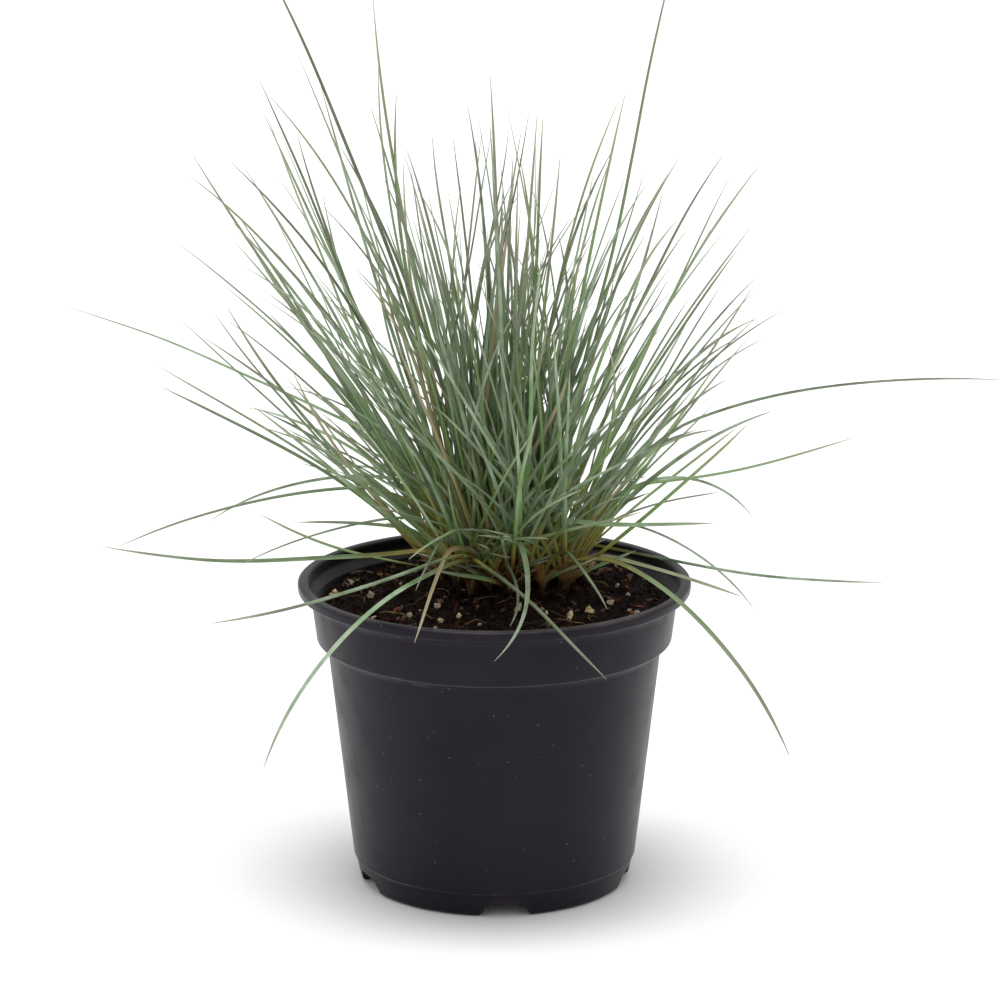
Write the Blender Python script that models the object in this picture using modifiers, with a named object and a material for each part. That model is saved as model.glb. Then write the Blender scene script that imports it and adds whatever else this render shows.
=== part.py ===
"""Clump of blue fescue grass in a round nursery pot.

The origin is on the pot's axis, at the level that the pot stands on. +Z is up, and -Y is the front.
Sizes are in millimetres here and are scaled to metres when the meshes are made.
"""
import math
import random

import bmesh
import bpy
import numpy as np

MM = 0.001
GAP = 0.3
MERGE_DISTANCE = 0.00001
SHARP_ANGLE = math.radians(35)

# Pot: outer radii and heights above the standing level
POT_STEPS = 40
SOIL_STEPS = 24
LIP_RADIUS = 52.5
LIP_LEVEL = 81.7
LIP_CREST = 82.5
LIP_INNER_RADIUS = 49.6
RIDGE_RADIUS = 48.7
RIDGE_LEVEL = 77.3
BAND_FOOT_RADIUS = 47.4
BAND_FOOT_LEVEL = 67.3
WALL_TOP_RADIUS = 44.6
WALL_TOP_LEVEL = 65.2
FOOT_LINE_RADIUS = 38.0
FOOT_LINE_LEVEL = 7.0
FOOT_RADIUS = 35.3
FOOT_INNER_RADIUS = 34.2
WALL = 1.0
FLOOR_UNDERSIDE = 4.6
FLOOR_TOP = 5.7

# Drainage: notches through the foot ring, and holes in the floor beside them
NOTCH_COUNT = 5
NOTCH_BEARING = -85.5
NOTCH_TOP_WIDTH = 9.0
NOTCH_BOTTOM_WIDTH = 14.0
NOTCH_HEIGHT = 4.0
NOTCH_CORNER = 0.9
DRAIN_RADIUS = 3.5
DRAIN_PITCH_RADIUS = 27.0
DRAIN_SIDES = 12
CUTTER_OVERLAP = 3.0

# Potting soil: level at the crown, where the grass stands, and its fall towards the wall
SOIL_CROWN_LEVEL = 79.0
SOIL_FALL = 0.106
SOIL_LUMP = 1.1
SOIL_WALL_GAP = 0.4
SOIL_RINGS = (0.0, 12.0, 24.0, 32.0, 39.0)
CROWN_FLAT_RADIUS = 21.5

# Crown of the clump: tillers spread over an oval, closest to the back of the pot
CROWN_CENTRE = (4.0, 9.0)
CROWN_RADII = (19.0, 14.0)
TILLER_COUNT = 42
TILLER_BLADES = 4
GOLDEN_ANGLE = math.radians(137.508)
OUTERMOST_SHARE = 0.95
SHARE_PER_LEAN = 1.15

# Leaf blades: thin where they leave the sheath, keeled, and drawn out to a fine tip
LEAST_POINTS = 4
MOST_POINTS = 9
KNEE_POINTS = 5
BEND_PER_POINT = 14.0
SHEATH_SIDES = 6
SHEATH_RADIUS = 1.15
SHEATH_TOP_RADIUS = 0.95
SHEATH_HEIGHT = 3.4
BLADE_ROOT_HEIGHT = 1.5
BLADE_ROOT_OFFSET = 0.45
BLADE_ROOT_RADIUS = 0.45
TIP_RADIUS = 0.16
BLADE_WIDTH = 0.9
BLADE_BELLY = 0.06
BLADE_STATIONS = (0.0, 0.25, 0.7, 1.0)
KEEL_SECTION = ((-0.9, 0.35), (0.0, -0.8), (0.9, 0.35))

# Room between blades: a blade that touches another is swung round the clump by these degrees
BLADE_GAP = 0.35
CHECKED_POINTS = 80
RIM_MARGIN = 1.5
SWINGS = (0, 2, -2, 4, -4, 6, -6, 9, -9, 12, -12, 16, -16)
TILLERS_TRIED = 6

# Seeded blades of the dense middle: degrees of lean, and lengths
FILL_BLADES = 42
TRIES_EACH = 4
FILL_REACH_BACK = 84.0
FILL_REACH_RIGHT = 66.0
FILL_LEAST_LEAN = 4.0
FILL_MIDDLE_LEAN = 8.0
FILL_OUTER_LEAN = 42.0
FILL_LEAN_SPREAD = 9.0
FILL_BEARING_SPREAD = 25.0
FILL_LENGTHS = (78.0, 122.0)
FILL_RISES = (3.0, 14.0)
FILL_BOWS = (3.0, 18.0)
SEED = 11


def blade(tip, rise, bow, width=BLADE_WIDTH, root=None, turn=0.0, knee=None):
    """One leaf blade: its tip, how many degrees it leaves steeper than its chord and ends flatter.

    root is the place in the crown that it grows from, where that isn't the side it leans to, and
    turn is how many degrees its tip curls sideways. A knee is a place where it bends over: it leaves
    the crown rise degrees steeper than the way to the knee, and is an arc from there on.
    """
    return {"tip": np.array(tip, float), "rise": rise, "bow": bow, "width": width,
            "root": root, "turn": turn, "knee": None if knee is None else np.array(knee, float)}


# The blades that stand clear of the clump, by the side they show on
LOW_LEFT = [
    blade((-121, 80, 140), 20, 4, knee=(-34, 24, 117)),
    blade((-77, 20, 93), 40, 22, knee=(-25, 6, 108)),
    blade((-99, -10, 94), 50, 10, 1.1, root=(-6, 0), knee=(-38, -2, 108)),
    blade((-105, 5, 90), 60, -9, 1.1, root=(-3, 2), knee=(-20, 1, 90)),
    blade((-64, 35, 91), -6, -14),
    blade((-53, 15, 94), 40, 4, knee=(-25, 6, 95)),
    blade((-66, -25, 93), 50, 13, root=(-8, -1), knee=(-26, -8, 101)),
    blade((-71, -66, 89), 60, -6, 1.5, root=(-3, -2), knee=(-24, -38, 94)),
    blade((-58, -72, 53), 60, 25, 1.5, root=(0, -4), knee=(-20, -36, 92)),
    blade((-22, 1, 105), 10, 12, root=(-13, 0)),
]
LEFT = [
    blade((-90, 20, 136), 15, 3),
    blade((-86, -15, 138), 18, 8),
    blade((-85, 40, 144), 5, 2),
    blade((-74, 0, 156), -5, -7),
    blade((-65, -20, 157), -6, -10),
    blade((-74, 60, 140), 12, 15),
    blade((-63, -30, 137), 5, 4),
    blade((-63, 35, 120), 12, 14),
]
UPPER_LEFT = [
    blade((-87, 50, 164), 14, 14),
    blade((-74, -20, 175), 20, 25),
    blade((-86, 20, 184), 22, 22),
    blade((-82, 50, 188), 4, -2),
    blade((-67, -20, 198), 14, 16),
    blade((-65, 30, 178), 2, 2),
    blade((-57, -30, 196), 1, 3),
    blade((-73, 70, 161), 8, 9),
    blade((-62, 40, 201), 0, 0),
    blade((-59, 0, 213), 14, 19),
    blade((-54, -30, 219), 0, 0),
    blade((-54, 60, 192), -5, -10),
    blade((-51, 10, 221), 2, 3),
    blade((-47, 50, 207), -3, -4),
    blade((-39, -25, 203), 10, 14),
    blade((-61, 20, 246), 9, 8, 1.2),
]
TOP = [
    blade((-32, 25, 235), -6, -9),
    blade((-31, -10, 223), -4, -14),
    blade((-31, -35, 215), 3, 3),
    blade((-22, -30, 203), 6, 10),
    blade((-11, 30, 196), 3, 3),
    blade((-7, 10, 208), 3, 6),
    blade((-1, 0, 217), 2, 2),
    blade((-1, -30, 209), 3, 6),
    blade((5, 40, 189), 3, 6),
    blade((11, -15, 210), 3, 3),
    blade((13, 30, 202), 3, 3),
    blade((18, 60, 186), 3, 3),
    blade((23, -25, 196), 3, 3),
    blade((33, 30, 206), 10, 15),
    blade((34, 0, 213), 2, 3),
    blade((31, -40, 195), 9, 20),
]
UPPER_RIGHT = [
    blade((47, 15, 247), 1, 0, 1.4),
    blade((50, 50, 187), 12, 20),
    blade((40, 25, 188), 4, 4),
    blade((43, -20, 190), -4, -5),
    blade((46, -45, 188), 10, 22),
    blade((60, 0, 194), 11, 13, 1.4),
    blade((64, 50, 182), 0, 2),
    blade((69, 25, 190), 12, 13, 1.4),
    blade((65, -30, 183), 10, 8),
    blade((69, 10, 162), 14, 14, 1.2),
    blade((71, 50, 152), -5, 0),
    blade((63, -40, 160), 14, 20),
    blade((72, 30, 141), 20, 24),
    blade((55, 70, 140), 0, 0),
]
RIGHT = [
    blade((123, -85, 156), 20, 9, 1.3, knee=(53, -22, 132)),
    blade((97, 25, 115), 40, -6, knee=(42, 12, 106)),
    blade((67, 50, 112), 4, 2, root=(22, 14)),
    blade((71, -10, 128), 28, 24, 1.2),
    blade((62, -35, 132), 0, -4),
    blade((62, 60, 128), 0, -4),
    blade((57, -20, 135), 12, 5),
    blade((63, 60, 91), 30, 12),
]
LOW_RIGHT = [
    blade((71, 40, 89), 40, 25, knee=(45, 24, 104)),
    blade((57, -24, 104), 60, -4, 1.5, root=(4, -1), knee=(18, -6, 101)),
    blade((103, -6, 83), 60, -6, 1.6, root=(10, 4), knee=(28, 5, 90)),
    blade((65, -16, 82), 60, 2, 1.5, root=(12, -3), knee=(32, 2, 88)),
    blade((72, 42, 62), 60, 16, root=(14, 10), knee=(38, 18, 92)),
    blade((75, -62, 53), 60, 25, 1.5, root=(12, -4), knee=(33, -14, 90)),
]
FRONT = [
    blade((-20, -66, 84), 60, 2, 1.2, root=(-2, -4), knee=(-13, -26, 96)),
    blade((28, -78, 78), 60, 4, 1.6, root=(-6, -2), knee=(-4, -20, 92)),
    blade((0, -76, 82), 60, 6, 1.6, root=(11, 0), turn=-30, knee=(7, -24, 97)),
    blade((2, -48, 83), 60, 10, root=(0, -4), turn=-25, knee=(3, -18, 91)),
    blade((29, -42, 86), 60, 4, 1.4, root=(13, -4), knee=(20, -16, 93)),
    blade((-22, -34, 97), 60, 8, 1.2, root=(-3, -2), knee=(-10, -18, 101)),
    blade((-20, -46, 92), 50, 6, 1.2, root=(-6, -2), knee=(-15, -26, 99)),
]
# Blades on the far side, which close the clump behind
BACK = [
    blade((-70, 82, 110), 30, 22),
    blade((-42, 84, 128), 22, 20),
    blade((-15, 85, 118), 30, 24),
    blade((12, 84, 138), 18, 18),
    blade((38, 84, 122), 26, 22),
    blade((62, 80, 104), 34, 26),
    blade((-45, 66, 96), 48, 34),
    blade((20, 78, 92), 52, 36),
]
SHOWN_BLADES = (LOW_LEFT + LOW_RIGHT + FRONT + LEFT + RIGHT + UPPER_LEFT + UPPER_RIGHT + TOP + BACK)


def scaled(points):
    """Millimetre points in metres."""
    return [tuple(value * MM for value in point) for point in points]


def clear_scene():
    for thing in list(bpy.data.objects):
        bpy.data.objects.remove(thing, do_unlink=True)


def new_collection(name):
    collection = bpy.data.collections.new(name)
    bpy.context.scene.collection.children.link(collection)
    return collection


def principled(name, colour, roughness):
    material = bpy.data.materials.new(name)
    material.use_nodes = True
    shader = material.node_tree.nodes["Principled BSDF"]
    shader.inputs["Base Color"].default_value = (*colour, 1.0)
    shader.inputs["Roughness"].default_value = roughness
    shader.inputs["Metallic"].default_value = 0.0
    return material


def mesh_object(name, mesh, collection, material=None):
    thing = bpy.data.objects.new(name, mesh)
    collection.objects.link(thing)
    if material:
        mesh.materials.append(material)
    return thing


def turned(name, profile, steps, collection, material=None):
    """A profile of radius and height, turned round the pot's axis with a Screw modifier."""
    mesh = bpy.data.meshes.new(name)
    points = scaled((radius, 0.0, height) for radius, height in profile)
    mesh.from_pydata(points, [(i, i + 1) for i in range(len(points) - 1)], [])
    thing = mesh_object(name, mesh, collection, material)
    screw = thing.modifiers.new("turn", "SCREW")
    screw.steps = steps
    screw.render_steps = steps
    screw.use_merge_vertices = True
    screw.merge_threshold = MERGE_DISTANCE
    screw.use_smooth_shade = True
    return thing


def applied(thing):
    """Replace an object's mesh by its evaluated one, with the modifiers in it."""
    bpy.context.view_layer.update()
    evaluated = thing.evaluated_get(bpy.context.evaluated_depsgraph_get())
    mesh = bpy.data.meshes.new_from_object(evaluated)
    thing.modifiers.clear()
    thing.data = mesh
    return thing


def pot_profile():
    """From the middle of the floor up the inside, over the rolled lip, and down to the foot."""
    floor_edge = FOOT_LINE_RADIUS - WALL - 0.5
    inside = [
        (0.0, FLOOR_TOP),
        (floor_edge, FLOOR_TOP),
        (WALL_TOP_RADIUS - WALL, WALL_TOP_LEVEL + 0.4),
        (BAND_FOOT_RADIUS - WALL - 0.1, BAND_FOOT_LEVEL + 0.8),
        (RIDGE_RADIUS - WALL - 0.2, RIDGE_LEVEL - 0.2),
        (LIP_INNER_RADIUS, RIDGE_LEVEL + 2.0),
    ]
    lip = [
        (LIP_INNER_RADIUS, LIP_LEVEL),
        (LIP_INNER_RADIUS + 0.6, LIP_CREST - 0.1),
        (LIP_RADIUS - 0.8, LIP_CREST),
        (LIP_RADIUS, LIP_LEVEL),
        (LIP_RADIUS - 0.1, LIP_LEVEL - 1.0),
        (LIP_RADIUS - 0.9, LIP_LEVEL - 1.7),
    ]
    outside = [
        (RIDGE_RADIUS + 1.6, LIP_LEVEL - 2.2),
        (RIDGE_RADIUS + 0.5, RIDGE_LEVEL + 1.5),
        (RIDGE_RADIUS, RIDGE_LEVEL),
        (BAND_FOOT_RADIUS, BAND_FOOT_LEVEL),
        (BAND_FOOT_RADIUS - 0.6, BAND_FOOT_LEVEL - 0.9),
        (WALL_TOP_RADIUS + 0.5, WALL_TOP_LEVEL + 0.4),
        (WALL_TOP_RADIUS, WALL_TOP_LEVEL - 0.4),
        (FOOT_LINE_RADIUS, FOOT_LINE_LEVEL),
        (FOOT_LINE_RADIUS - 0.6, FOOT_LINE_LEVEL - 0.4),
        (FOOT_RADIUS + 1.4, 1.3),
        (FOOT_RADIUS, 0.0),
        (FOOT_INNER_RADIUS, 0.0),
        (FOOT_INNER_RADIUS - 0.2, FLOOR_UNDERSIDE),
        (0.0, FLOOR_UNDERSIDE),
    ]
    return inside + lip + outside


def notch_cutter(index, guides):
    """A wedge-shaped bar through the foot ring, wider at the standing level."""
    depth_in = FOOT_INNER_RADIUS - CUTTER_OVERLAP
    depth_out = FOOT_LINE_RADIUS + CUTTER_OVERLAP
    bottom, top = NOTCH_BOTTOM_WIDTH / 2, NOTCH_TOP_WIDTH / 2
    outline = [
        (-bottom, -CUTTER_OVERLAP),
        (bottom, -CUTTER_OVERLAP),
        (bottom, 0.0),
        (top + NOTCH_CORNER / 2, NOTCH_HEIGHT - NOTCH_CORNER),
        (top - NOTCH_CORNER, NOTCH_HEIGHT),
        (NOTCH_CORNER - top, NOTCH_HEIGHT),
        (-top - NOTCH_CORNER / 2, NOTCH_HEIGHT - NOTCH_CORNER),
        (-bottom, 0.0),
    ]
    sketch = bmesh.new()
    ring = [sketch.verts.new(p) for p in scaled((depth_in, across, up) for across, up in outline)]
    face = sketch.faces.new(ring)
    grown = bmesh.ops.extrude_face_region(sketch, geom=[face])
    moved = [part for part in grown["geom"] if isinstance(part, bmesh.types.BMVert)]
    bmesh.ops.translate(sketch, verts=moved, vec=((depth_out - depth_in) * MM, 0.0, 0.0))
    bmesh.ops.recalc_face_normals(sketch, faces=sketch.faces)
    mesh = bpy.data.meshes.new("notch_cutter_%d" % index)
    sketch.to_mesh(mesh)
    sketch.free()
    return mesh_object(mesh.name, mesh, guides)


def drain_cutter(index, guides):
    sketch = bmesh.new()
    bmesh.ops.create_cone(sketch, cap_ends=True, segments=DRAIN_SIDES, radius1=DRAIN_RADIUS * MM,
                          radius2=DRAIN_RADIUS * MM, depth=2 * CUTTER_OVERLAP * MM)
    bmesh.ops.translate(sketch, verts=sketch.verts,
                        vec=(DRAIN_PITCH_RADIUS * MM, 0.0, FLOOR_TOP * MM))
    mesh = bpy.data.meshes.new("drain_cutter_%d" % index)
    sketch.to_mesh(mesh)
    sketch.free()
    return mesh_object(mesh.name, mesh, guides)


def as_guide(thing):
    thing.hide_render = True
    thing.display_type = "WIRE"


def make_pot(parts, guides, material):
    pot = turned("pot", pot_profile(), POT_STEPS, parts, material)
    for index in range(NOTCH_COUNT):
        bearing = math.radians(NOTCH_BEARING + index * 360.0 / NOTCH_COUNT)
        for cutter in (notch_cutter(index, guides), drain_cutter(index, guides)):
            cutter.rotation_euler.z = bearing
            as_guide(cutter)
            cut = pot.modifiers.new(cutter.name, "BOOLEAN")
            cut.operation = "DIFFERENCE"
            cut.object = cutter
    applied(pot)
    pot.data.set_sharp_from_angle(angle=SHARP_ANGLE)


def soil_level(x, y):
    """Flat where the tillers stand, falling gently towards the wall."""
    away = math.hypot(x - CROWN_CENTRE[0], y - CROWN_CENTRE[1])
    return SOIL_CROWN_LEVEL - SOIL_FALL * max(0.0, away - CROWN_FLAT_RADIUS)


def make_soil(parts, material):
    wall_top = WALL_TOP_RADIUS - WALL - SOIL_WALL_GAP
    band = BAND_FOOT_RADIUS - WALL - SOIL_WALL_GAP
    ridge = RIDGE_RADIUS - WALL - 0.2 - SOIL_WALL_GAP
    top = [(radius, SOIL_CROWN_LEVEL) for radius in (*SOIL_RINGS, ridge - 1.0)]
    sides = [
        (ridge - 0.6, RIDGE_LEVEL - 3.2),
        (band - 0.2, BAND_FOOT_LEVEL + 1.6),
        (wall_top - 0.2, WALL_TOP_LEVEL - 0.2),
        (FOOT_LINE_RADIUS - WALL - 2.4, FLOOR_TOP + GAP),
        (0.0, FLOOR_TOP + GAP),
    ]
    soil = applied(turned("potting_soil", top + sides, SOIL_STEPS, parts, material))
    rough = random.Random(SEED)
    for vertex in soil.data.vertices:
        if vertex.co.z > (SOIL_CROWN_LEVEL - 0.5) * MM:
            x, y = vertex.co.x / MM, vertex.co.y / MM
            away = math.hypot(x - CROWN_CENTRE[0], y - CROWN_CENTRE[1])
            lump = rough.uniform(0.0, SOIL_LUMP) if away > CROWN_FLAT_RADIUS else 0.0
            vertex.co.z = (soil_level(x, y) - lump) * MM
    soil.data.update()


def tiller_spots():
    """Places of the tillers in the crown, spread evenly by the golden angle."""
    spots = []
    for index in range(TILLER_COUNT):
        reach = math.sqrt((index + 0.5) / TILLER_COUNT)
        bearing = index * GOLDEN_ANGLE
        spots.append((CROWN_CENTRE[0] + CROWN_RADII[0] * reach * math.cos(bearing),
                      CROWN_CENTRE[1] + CROWN_RADII[1] * reach * math.sin(bearing)))
    return np.array(spots)


def tillers_by_fit(leaf, spots):
    """Tillers in the order in which the blade would grow from them, best first."""
    if leaf["root"] is not None:
        wanted = np.array(leaf["root"], float)
    else:
        away = leaf["tip"][:2] - CROWN_CENTRE
        reach = math.hypot(*away)
        lean = math.atan2(reach, leaf["tip"][2] - SOIL_CROWN_LEVEL)
        share = min(OUTERMOST_SHARE, SHARE_PER_LEAN * math.sin(min(lean, math.pi / 2)))
        wanted = np.array(CROWN_CENTRE) + share * np.array(CROWN_RADII) * away / reach
    return np.argsort(np.hypot(*(spots - wanted).T))


def swung(place, swing):
    """A place turned by some degrees about the clump's upright middle."""
    angle = math.radians(swing)
    x, y = place[:2] - CROWN_CENTRE
    return np.array([CROWN_CENTRE[0] + x * math.cos(angle) - y * math.sin(angle),
                     CROWN_CENTRE[1] + x * math.sin(angle) + y * math.cos(angle), place[2]])


def aimed(span, steeper, turn):
    """A span tilted up by some degrees and turned sideways by others."""
    length = float(np.linalg.norm(span))
    lean = math.acos(span[2] / length) - math.radians(steeper)
    bearing = math.atan2(span[1], span[0]) + math.radians(turn)
    flat = math.sin(lean)
    return length * np.array([flat * math.cos(bearing), flat * math.sin(bearing), math.cos(lean)])


def curved(first, leaving, last, arriving, count):
    """Points of a smooth curve between two places, with its direction at each."""
    s = np.linspace(0.0, 1.0, count)[:, None]
    return ((2 * s**3 - 3 * s**2 + 1) * first + (s**3 - 2 * s**2 + s) * leaving
            + (3 * s**2 - 2 * s**3) * last + (s**3 - s**2) * arriving)


def centreline(leaf, spot, swing=0.0):
    """Points along a blade, on a smooth curve from its tiller, over its knee if any, to its tip."""
    rise, bow, turn = leaf["rise"], leaf["bow"], leaf["turn"]
    tip = swung(leaf["tip"], swing)
    knee = tip if leaf["knee"] is None else swung(leaf["knee"], swing)
    heading = math.atan2(knee[1] - spot[1], knee[0] - spot[0])
    base = np.array([
        spot[0] + BLADE_ROOT_OFFSET * math.cos(heading),
        spot[1] + BLADE_ROOT_OFFSET * math.sin(heading),
        SOIL_CROWN_LEVEL + GAP + BLADE_ROOT_HEIGHT,
    ])
    if leaf["knee"] is None:
        count = min(MOST_POINTS, LEAST_POINTS + int((abs(rise) + abs(bow) + abs(turn)) / BEND_PER_POINT))
        span = tip - base
        return curved(base, aimed(span, rise, -turn / 2), tip, aimed(span, -bow, turn), count)
    over = aimed(tip - knee, bow, -turn / 2)
    share = np.linalg.norm(knee - base) / np.linalg.norm(tip - knee)
    count = min(MOST_POINTS, LEAST_POINTS + int((2 * abs(bow) + 1.5 * abs(turn)) / BEND_PER_POINT))
    inner = curved(base, aimed(knee - base, rise, 0.0), knee, over * share, KNEE_POINTS)
    outer = curved(knee, over, tip, aimed(tip - knee, -bow, turn), count)
    return np.concatenate([inner[:-1], outer])


def blade_radii(leaf, count):
    """Half widths along a blade: at its root, at its widest, near its end and at its tip."""
    half = leaf["width"] / 2
    return np.interp(np.linspace(0.0, 1.0, count), BLADE_STATIONS,
                     [BLADE_ROOT_RADIUS, half + BLADE_BELLY, half, TIP_RADIUS])


def closest(starts, ends, others, other_ends):
    """Least distance between each of some segments and each of others, and where on each."""
    u = (ends - starts)[:, None]
    v = (other_ends - others)[None]
    w = starts[:, None] - others[None]
    a, b, c = (u * u).sum(-1), (u * v).sum(-1), (v * v).sum(-1)
    d, e = (u * w).sum(-1), (v * w).sum(-1)
    spread = np.maximum(a * c - b * b, 1e-9)
    s = np.clip((b * e - c * d) / spread, 0.0, 1.0)
    t = np.clip((b * s + e) / c, 0.0, 1.0)
    s = np.clip((b * t - d) / a, 0.0, 1.0)
    gap = w + s[..., None] * u - t[..., None] * v
    return np.sqrt((gap * gap).sum(-1)), s, t


def room_on(tiller, grown):
    return sum(other["tiller"] == tiller for other in grown) < TILLER_BLADES


def clearance(line, radii, grown, tiller):
    """Least gap between a blade and the blades of the other tillers."""
    least = math.inf
    for other in grown:
        if other["tiller"] == tiller:
            continue
        apart, s, t = closest(line[:-1], line[1:], other["line"][:-1], other["line"][1:])
        own = radii[:-1, None] * (1 - s) + radii[1:, None] * s
        its = other["radii"][None, :-1] * (1 - t) + other["radii"][None, 1:] * t
        least = min(least, float((apart - own - its).min()))
    return least


def sheath_clearance(line, radii, spots, tiller):
    """Least gap between a blade's first stretch and the sheaths of the other tillers."""
    fine = np.linspace(0, len(line) - 1, CHECKED_POINTS)
    index = np.arange(len(line))
    x, y, z, r = (np.interp(fine, index, row) for row in (*line.T, radii))
    low = z - r < SOIL_CROWN_LEVEL + GAP + SHEATH_HEIGHT + BLADE_GAP
    if not low.any():
        return math.inf
    others = np.delete(spots, tiller, axis=0)
    apart = np.hypot(x[low, None] - others[:, 0], y[low, None] - others[:, 1])
    return float((apart - r[low, None] - SHEATH_RADIUS).min())


def pot_clearance(line, radii):
    """Least gap between a blade and the pot's lip, the pot's wall and the soil."""
    fine = np.linspace(0, len(line) - 1, CHECKED_POINTS)
    index = np.arange(len(line))
    x, y, z = (np.interp(fine, index, line[:, axis]) for axis in range(3))
    r = np.interp(fine, index, radii)
    out = np.hypot(x, y)
    above_lip = z - LIP_CREST - r
    outside_lip = out - LIP_RADIUS - r
    near_rim = out > LIP_INNER_RADIUS - RIM_MARGIN
    over_rim = np.where(near_rim, np.maximum(above_lip, outside_lip), math.inf)
    over_soil = np.where(out <= LIP_INNER_RADIUS, z - SOIL_CROWN_LEVEL - r * 0.9, math.inf)
    return float(min(over_rim.min(), over_soil.min()))


def grow(leaf, spots, grown):
    """Set a blade on the tiller, and swing its tip round the clump, so that it touches no other."""
    choices = [t for t in tillers_by_fit(leaf, spots) if room_on(t, grown)]
    for tiller in choices[:TILLERS_TRIED]:
        for swing in SWINGS:
            line = centreline(leaf, spots[tiller], swing)
            radii = blade_radii(leaf, len(line))
            if min(pot_clearance(line, radii), sheath_clearance(line, radii, spots, tiller)) < GAP:
                continue
            if clearance(line, radii, grown, tiller) > BLADE_GAP:
                grown.append({"tiller": int(tiller), "line": line, "radii": radii})
                return True
    return False


def fill_blade(spot, chance):
    """A blade of the dense middle of the clump, leaning the way its tiller lies."""
    off = (spot - CROWN_CENTRE) / CROWN_RADII
    reach = math.hypot(*off)
    bearing = math.atan2(off[1], off[0]) + math.radians(chance.gauss(0, FILL_BEARING_SPREAD))
    outward = FILL_MIDDLE_LEAN + FILL_OUTER_LEAN * reach + chance.gauss(0, FILL_LEAN_SPREAD)
    lean = math.radians(max(FILL_LEAST_LEAN, outward))
    length = chance.uniform(*FILL_LENGTHS)
    flat = length * math.sin(lean)
    tip = (min(FILL_REACH_RIGHT, spot[0] + flat * math.cos(bearing)),
           min(FILL_REACH_BACK, spot[1] + flat * math.sin(bearing)),
           SOIL_CROWN_LEVEL + length * math.cos(lean))
    return blade(tip, chance.uniform(*FILL_RISES), chance.uniform(*FILL_BOWS))


def grow_clump():
    """All the blades: those that stand clear, then one or more of the dense middle on each tiller."""
    spots = tiller_spots()
    grown = []
    for leaf in SHOWN_BLADES:
        if not grow(leaf, spots, grown):
            raise ValueError("no room for the blade to %s" % leaf["tip"])
    chance = random.Random(SEED)
    bare = [t for t in range(TILLER_COUNT) if all(g["tiller"] != t for g in grown)]
    filled = 0
    for tiller in TRIES_EACH * bare + TRIES_EACH * list(range(TILLER_COUNT)):
        if filled < FILL_BLADES:
            filled += grow(fill_blade(spots[tiller], chance), spots, grown)
    return grown


def keel_section(guides):
    """The section of a leaf blade: a shallow V, closed to a triangle."""
    curve = bpy.data.curves.new("leaf_section", "CURVE")
    curve.dimensions = "2D"
    spline = curve.splines.new("POLY")
    spline.points.add(len(KEEL_SECTION) - 1)
    for point, (across, up) in zip(spline.points, KEEL_SECTION):
        point.co = (across * MM, up * MM, 0.0, 1.0)
    spline.use_cyclic_u = True
    section = bpy.data.objects.new("leaf_section", curve)
    guides.objects.link(section)
    as_guide(section)
    return section


def leaf_mesh(name, line, radii, section):
    """A blade as a curve swept with the leaf section, made a closed mesh."""
    curve = bpy.data.curves.new(name, "CURVE")
    curve.dimensions = "3D"
    curve.bevel_mode = "OBJECT"
    curve.bevel_object = section
    curve.use_fill_caps = True
    spline = curve.splines.new("POLY")
    spline.points.add(len(line) - 1)
    for point, place, radius in zip(spline.points, line, radii):
        point.co = (*(place * MM), 1.0)
        point.radius = float(radius)
    rod = bpy.data.objects.new(name, curve)
    bpy.context.scene.collection.objects.link(rod)
    applied_mesh = bpy.data.meshes.new_from_object(
        rod.evaluated_get(bpy.context.evaluated_depsgraph_get()))
    bpy.data.objects.remove(rod)
    bpy.data.curves.remove(curve)
    whole = bmesh.new()
    whole.from_mesh(applied_mesh)
    bmesh.ops.remove_doubles(whole, verts=whole.verts, dist=MERGE_DISTANCE)
    bmesh.ops.recalc_face_normals(whole, faces=whole.faces)
    whole.to_mesh(applied_mesh)
    whole.free()
    return applied_mesh


def sheath_mesh(name, spot):
    """The rolled sheaths at a tiller's foot, which its blades grow out of."""
    sketch = bmesh.new()
    bmesh.ops.create_cone(sketch, cap_ends=True, segments=SHEATH_SIDES, radius1=SHEATH_RADIUS * MM,
                          radius2=SHEATH_TOP_RADIUS * MM, depth=SHEATH_HEIGHT * MM)
    middle = SOIL_CROWN_LEVEL + GAP + SHEATH_HEIGHT / 2
    bmesh.ops.translate(sketch, verts=sketch.verts, vec=(spot[0] * MM, spot[1] * MM, middle * MM))
    mesh = bpy.data.meshes.new(name)
    sketch.to_mesh(mesh)
    sketch.free()
    return mesh


def make_tiller(number, spot, blades, section, parts, guides, material):
    """One tiller: its leaf blades, joined in the sheath at its foot."""
    name = "tiller_%02d" % number
    tiller = mesh_object(name, sheath_mesh(name, spot), parts, material)
    meshes = [leaf_mesh("%s_leaf_%d" % (name, i), b["line"], b["radii"], section)
              for i, b in enumerate(blades)]
    others = [mesh_object(mesh.name, mesh, guides) for mesh in meshes]
    for other in others:
        as_guide(other)
        join = tiller.modifiers.new(other.name, "BOOLEAN")
        join.operation = "UNION"
        join.object = other
    applied(tiller)
    for other in others:
        bpy.data.objects.remove(other)


def make_grass(parts, guides, material):
    section = keel_section(guides)
    grown = grow_clump()
    for tiller, spot in enumerate(tiller_spots()):
        blades = [g for g in grown if g["tiller"] == tiller]
        make_tiller(tiller + 1, spot, blades, section, parts, guides, material)


def main():
    clear_scene()
    parts = new_collection("potted_blue_fescue")
    guides = new_collection("cutters_and_guides")
    make_pot(parts, guides, principled("black_plastic", (0.022, 0.020, 0.024), 0.5))
    make_soil(parts, principled("potting_soil", (0.025, 0.014, 0.009), 0.95))
    make_grass(parts, guides, principled("fescue_leaf", (0.13, 0.19, 0.12), 0.55))


main()
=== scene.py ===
import math
import random

import bmesh
import bpy
import numpy as np
from mathutils import Euler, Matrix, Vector, noise


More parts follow.
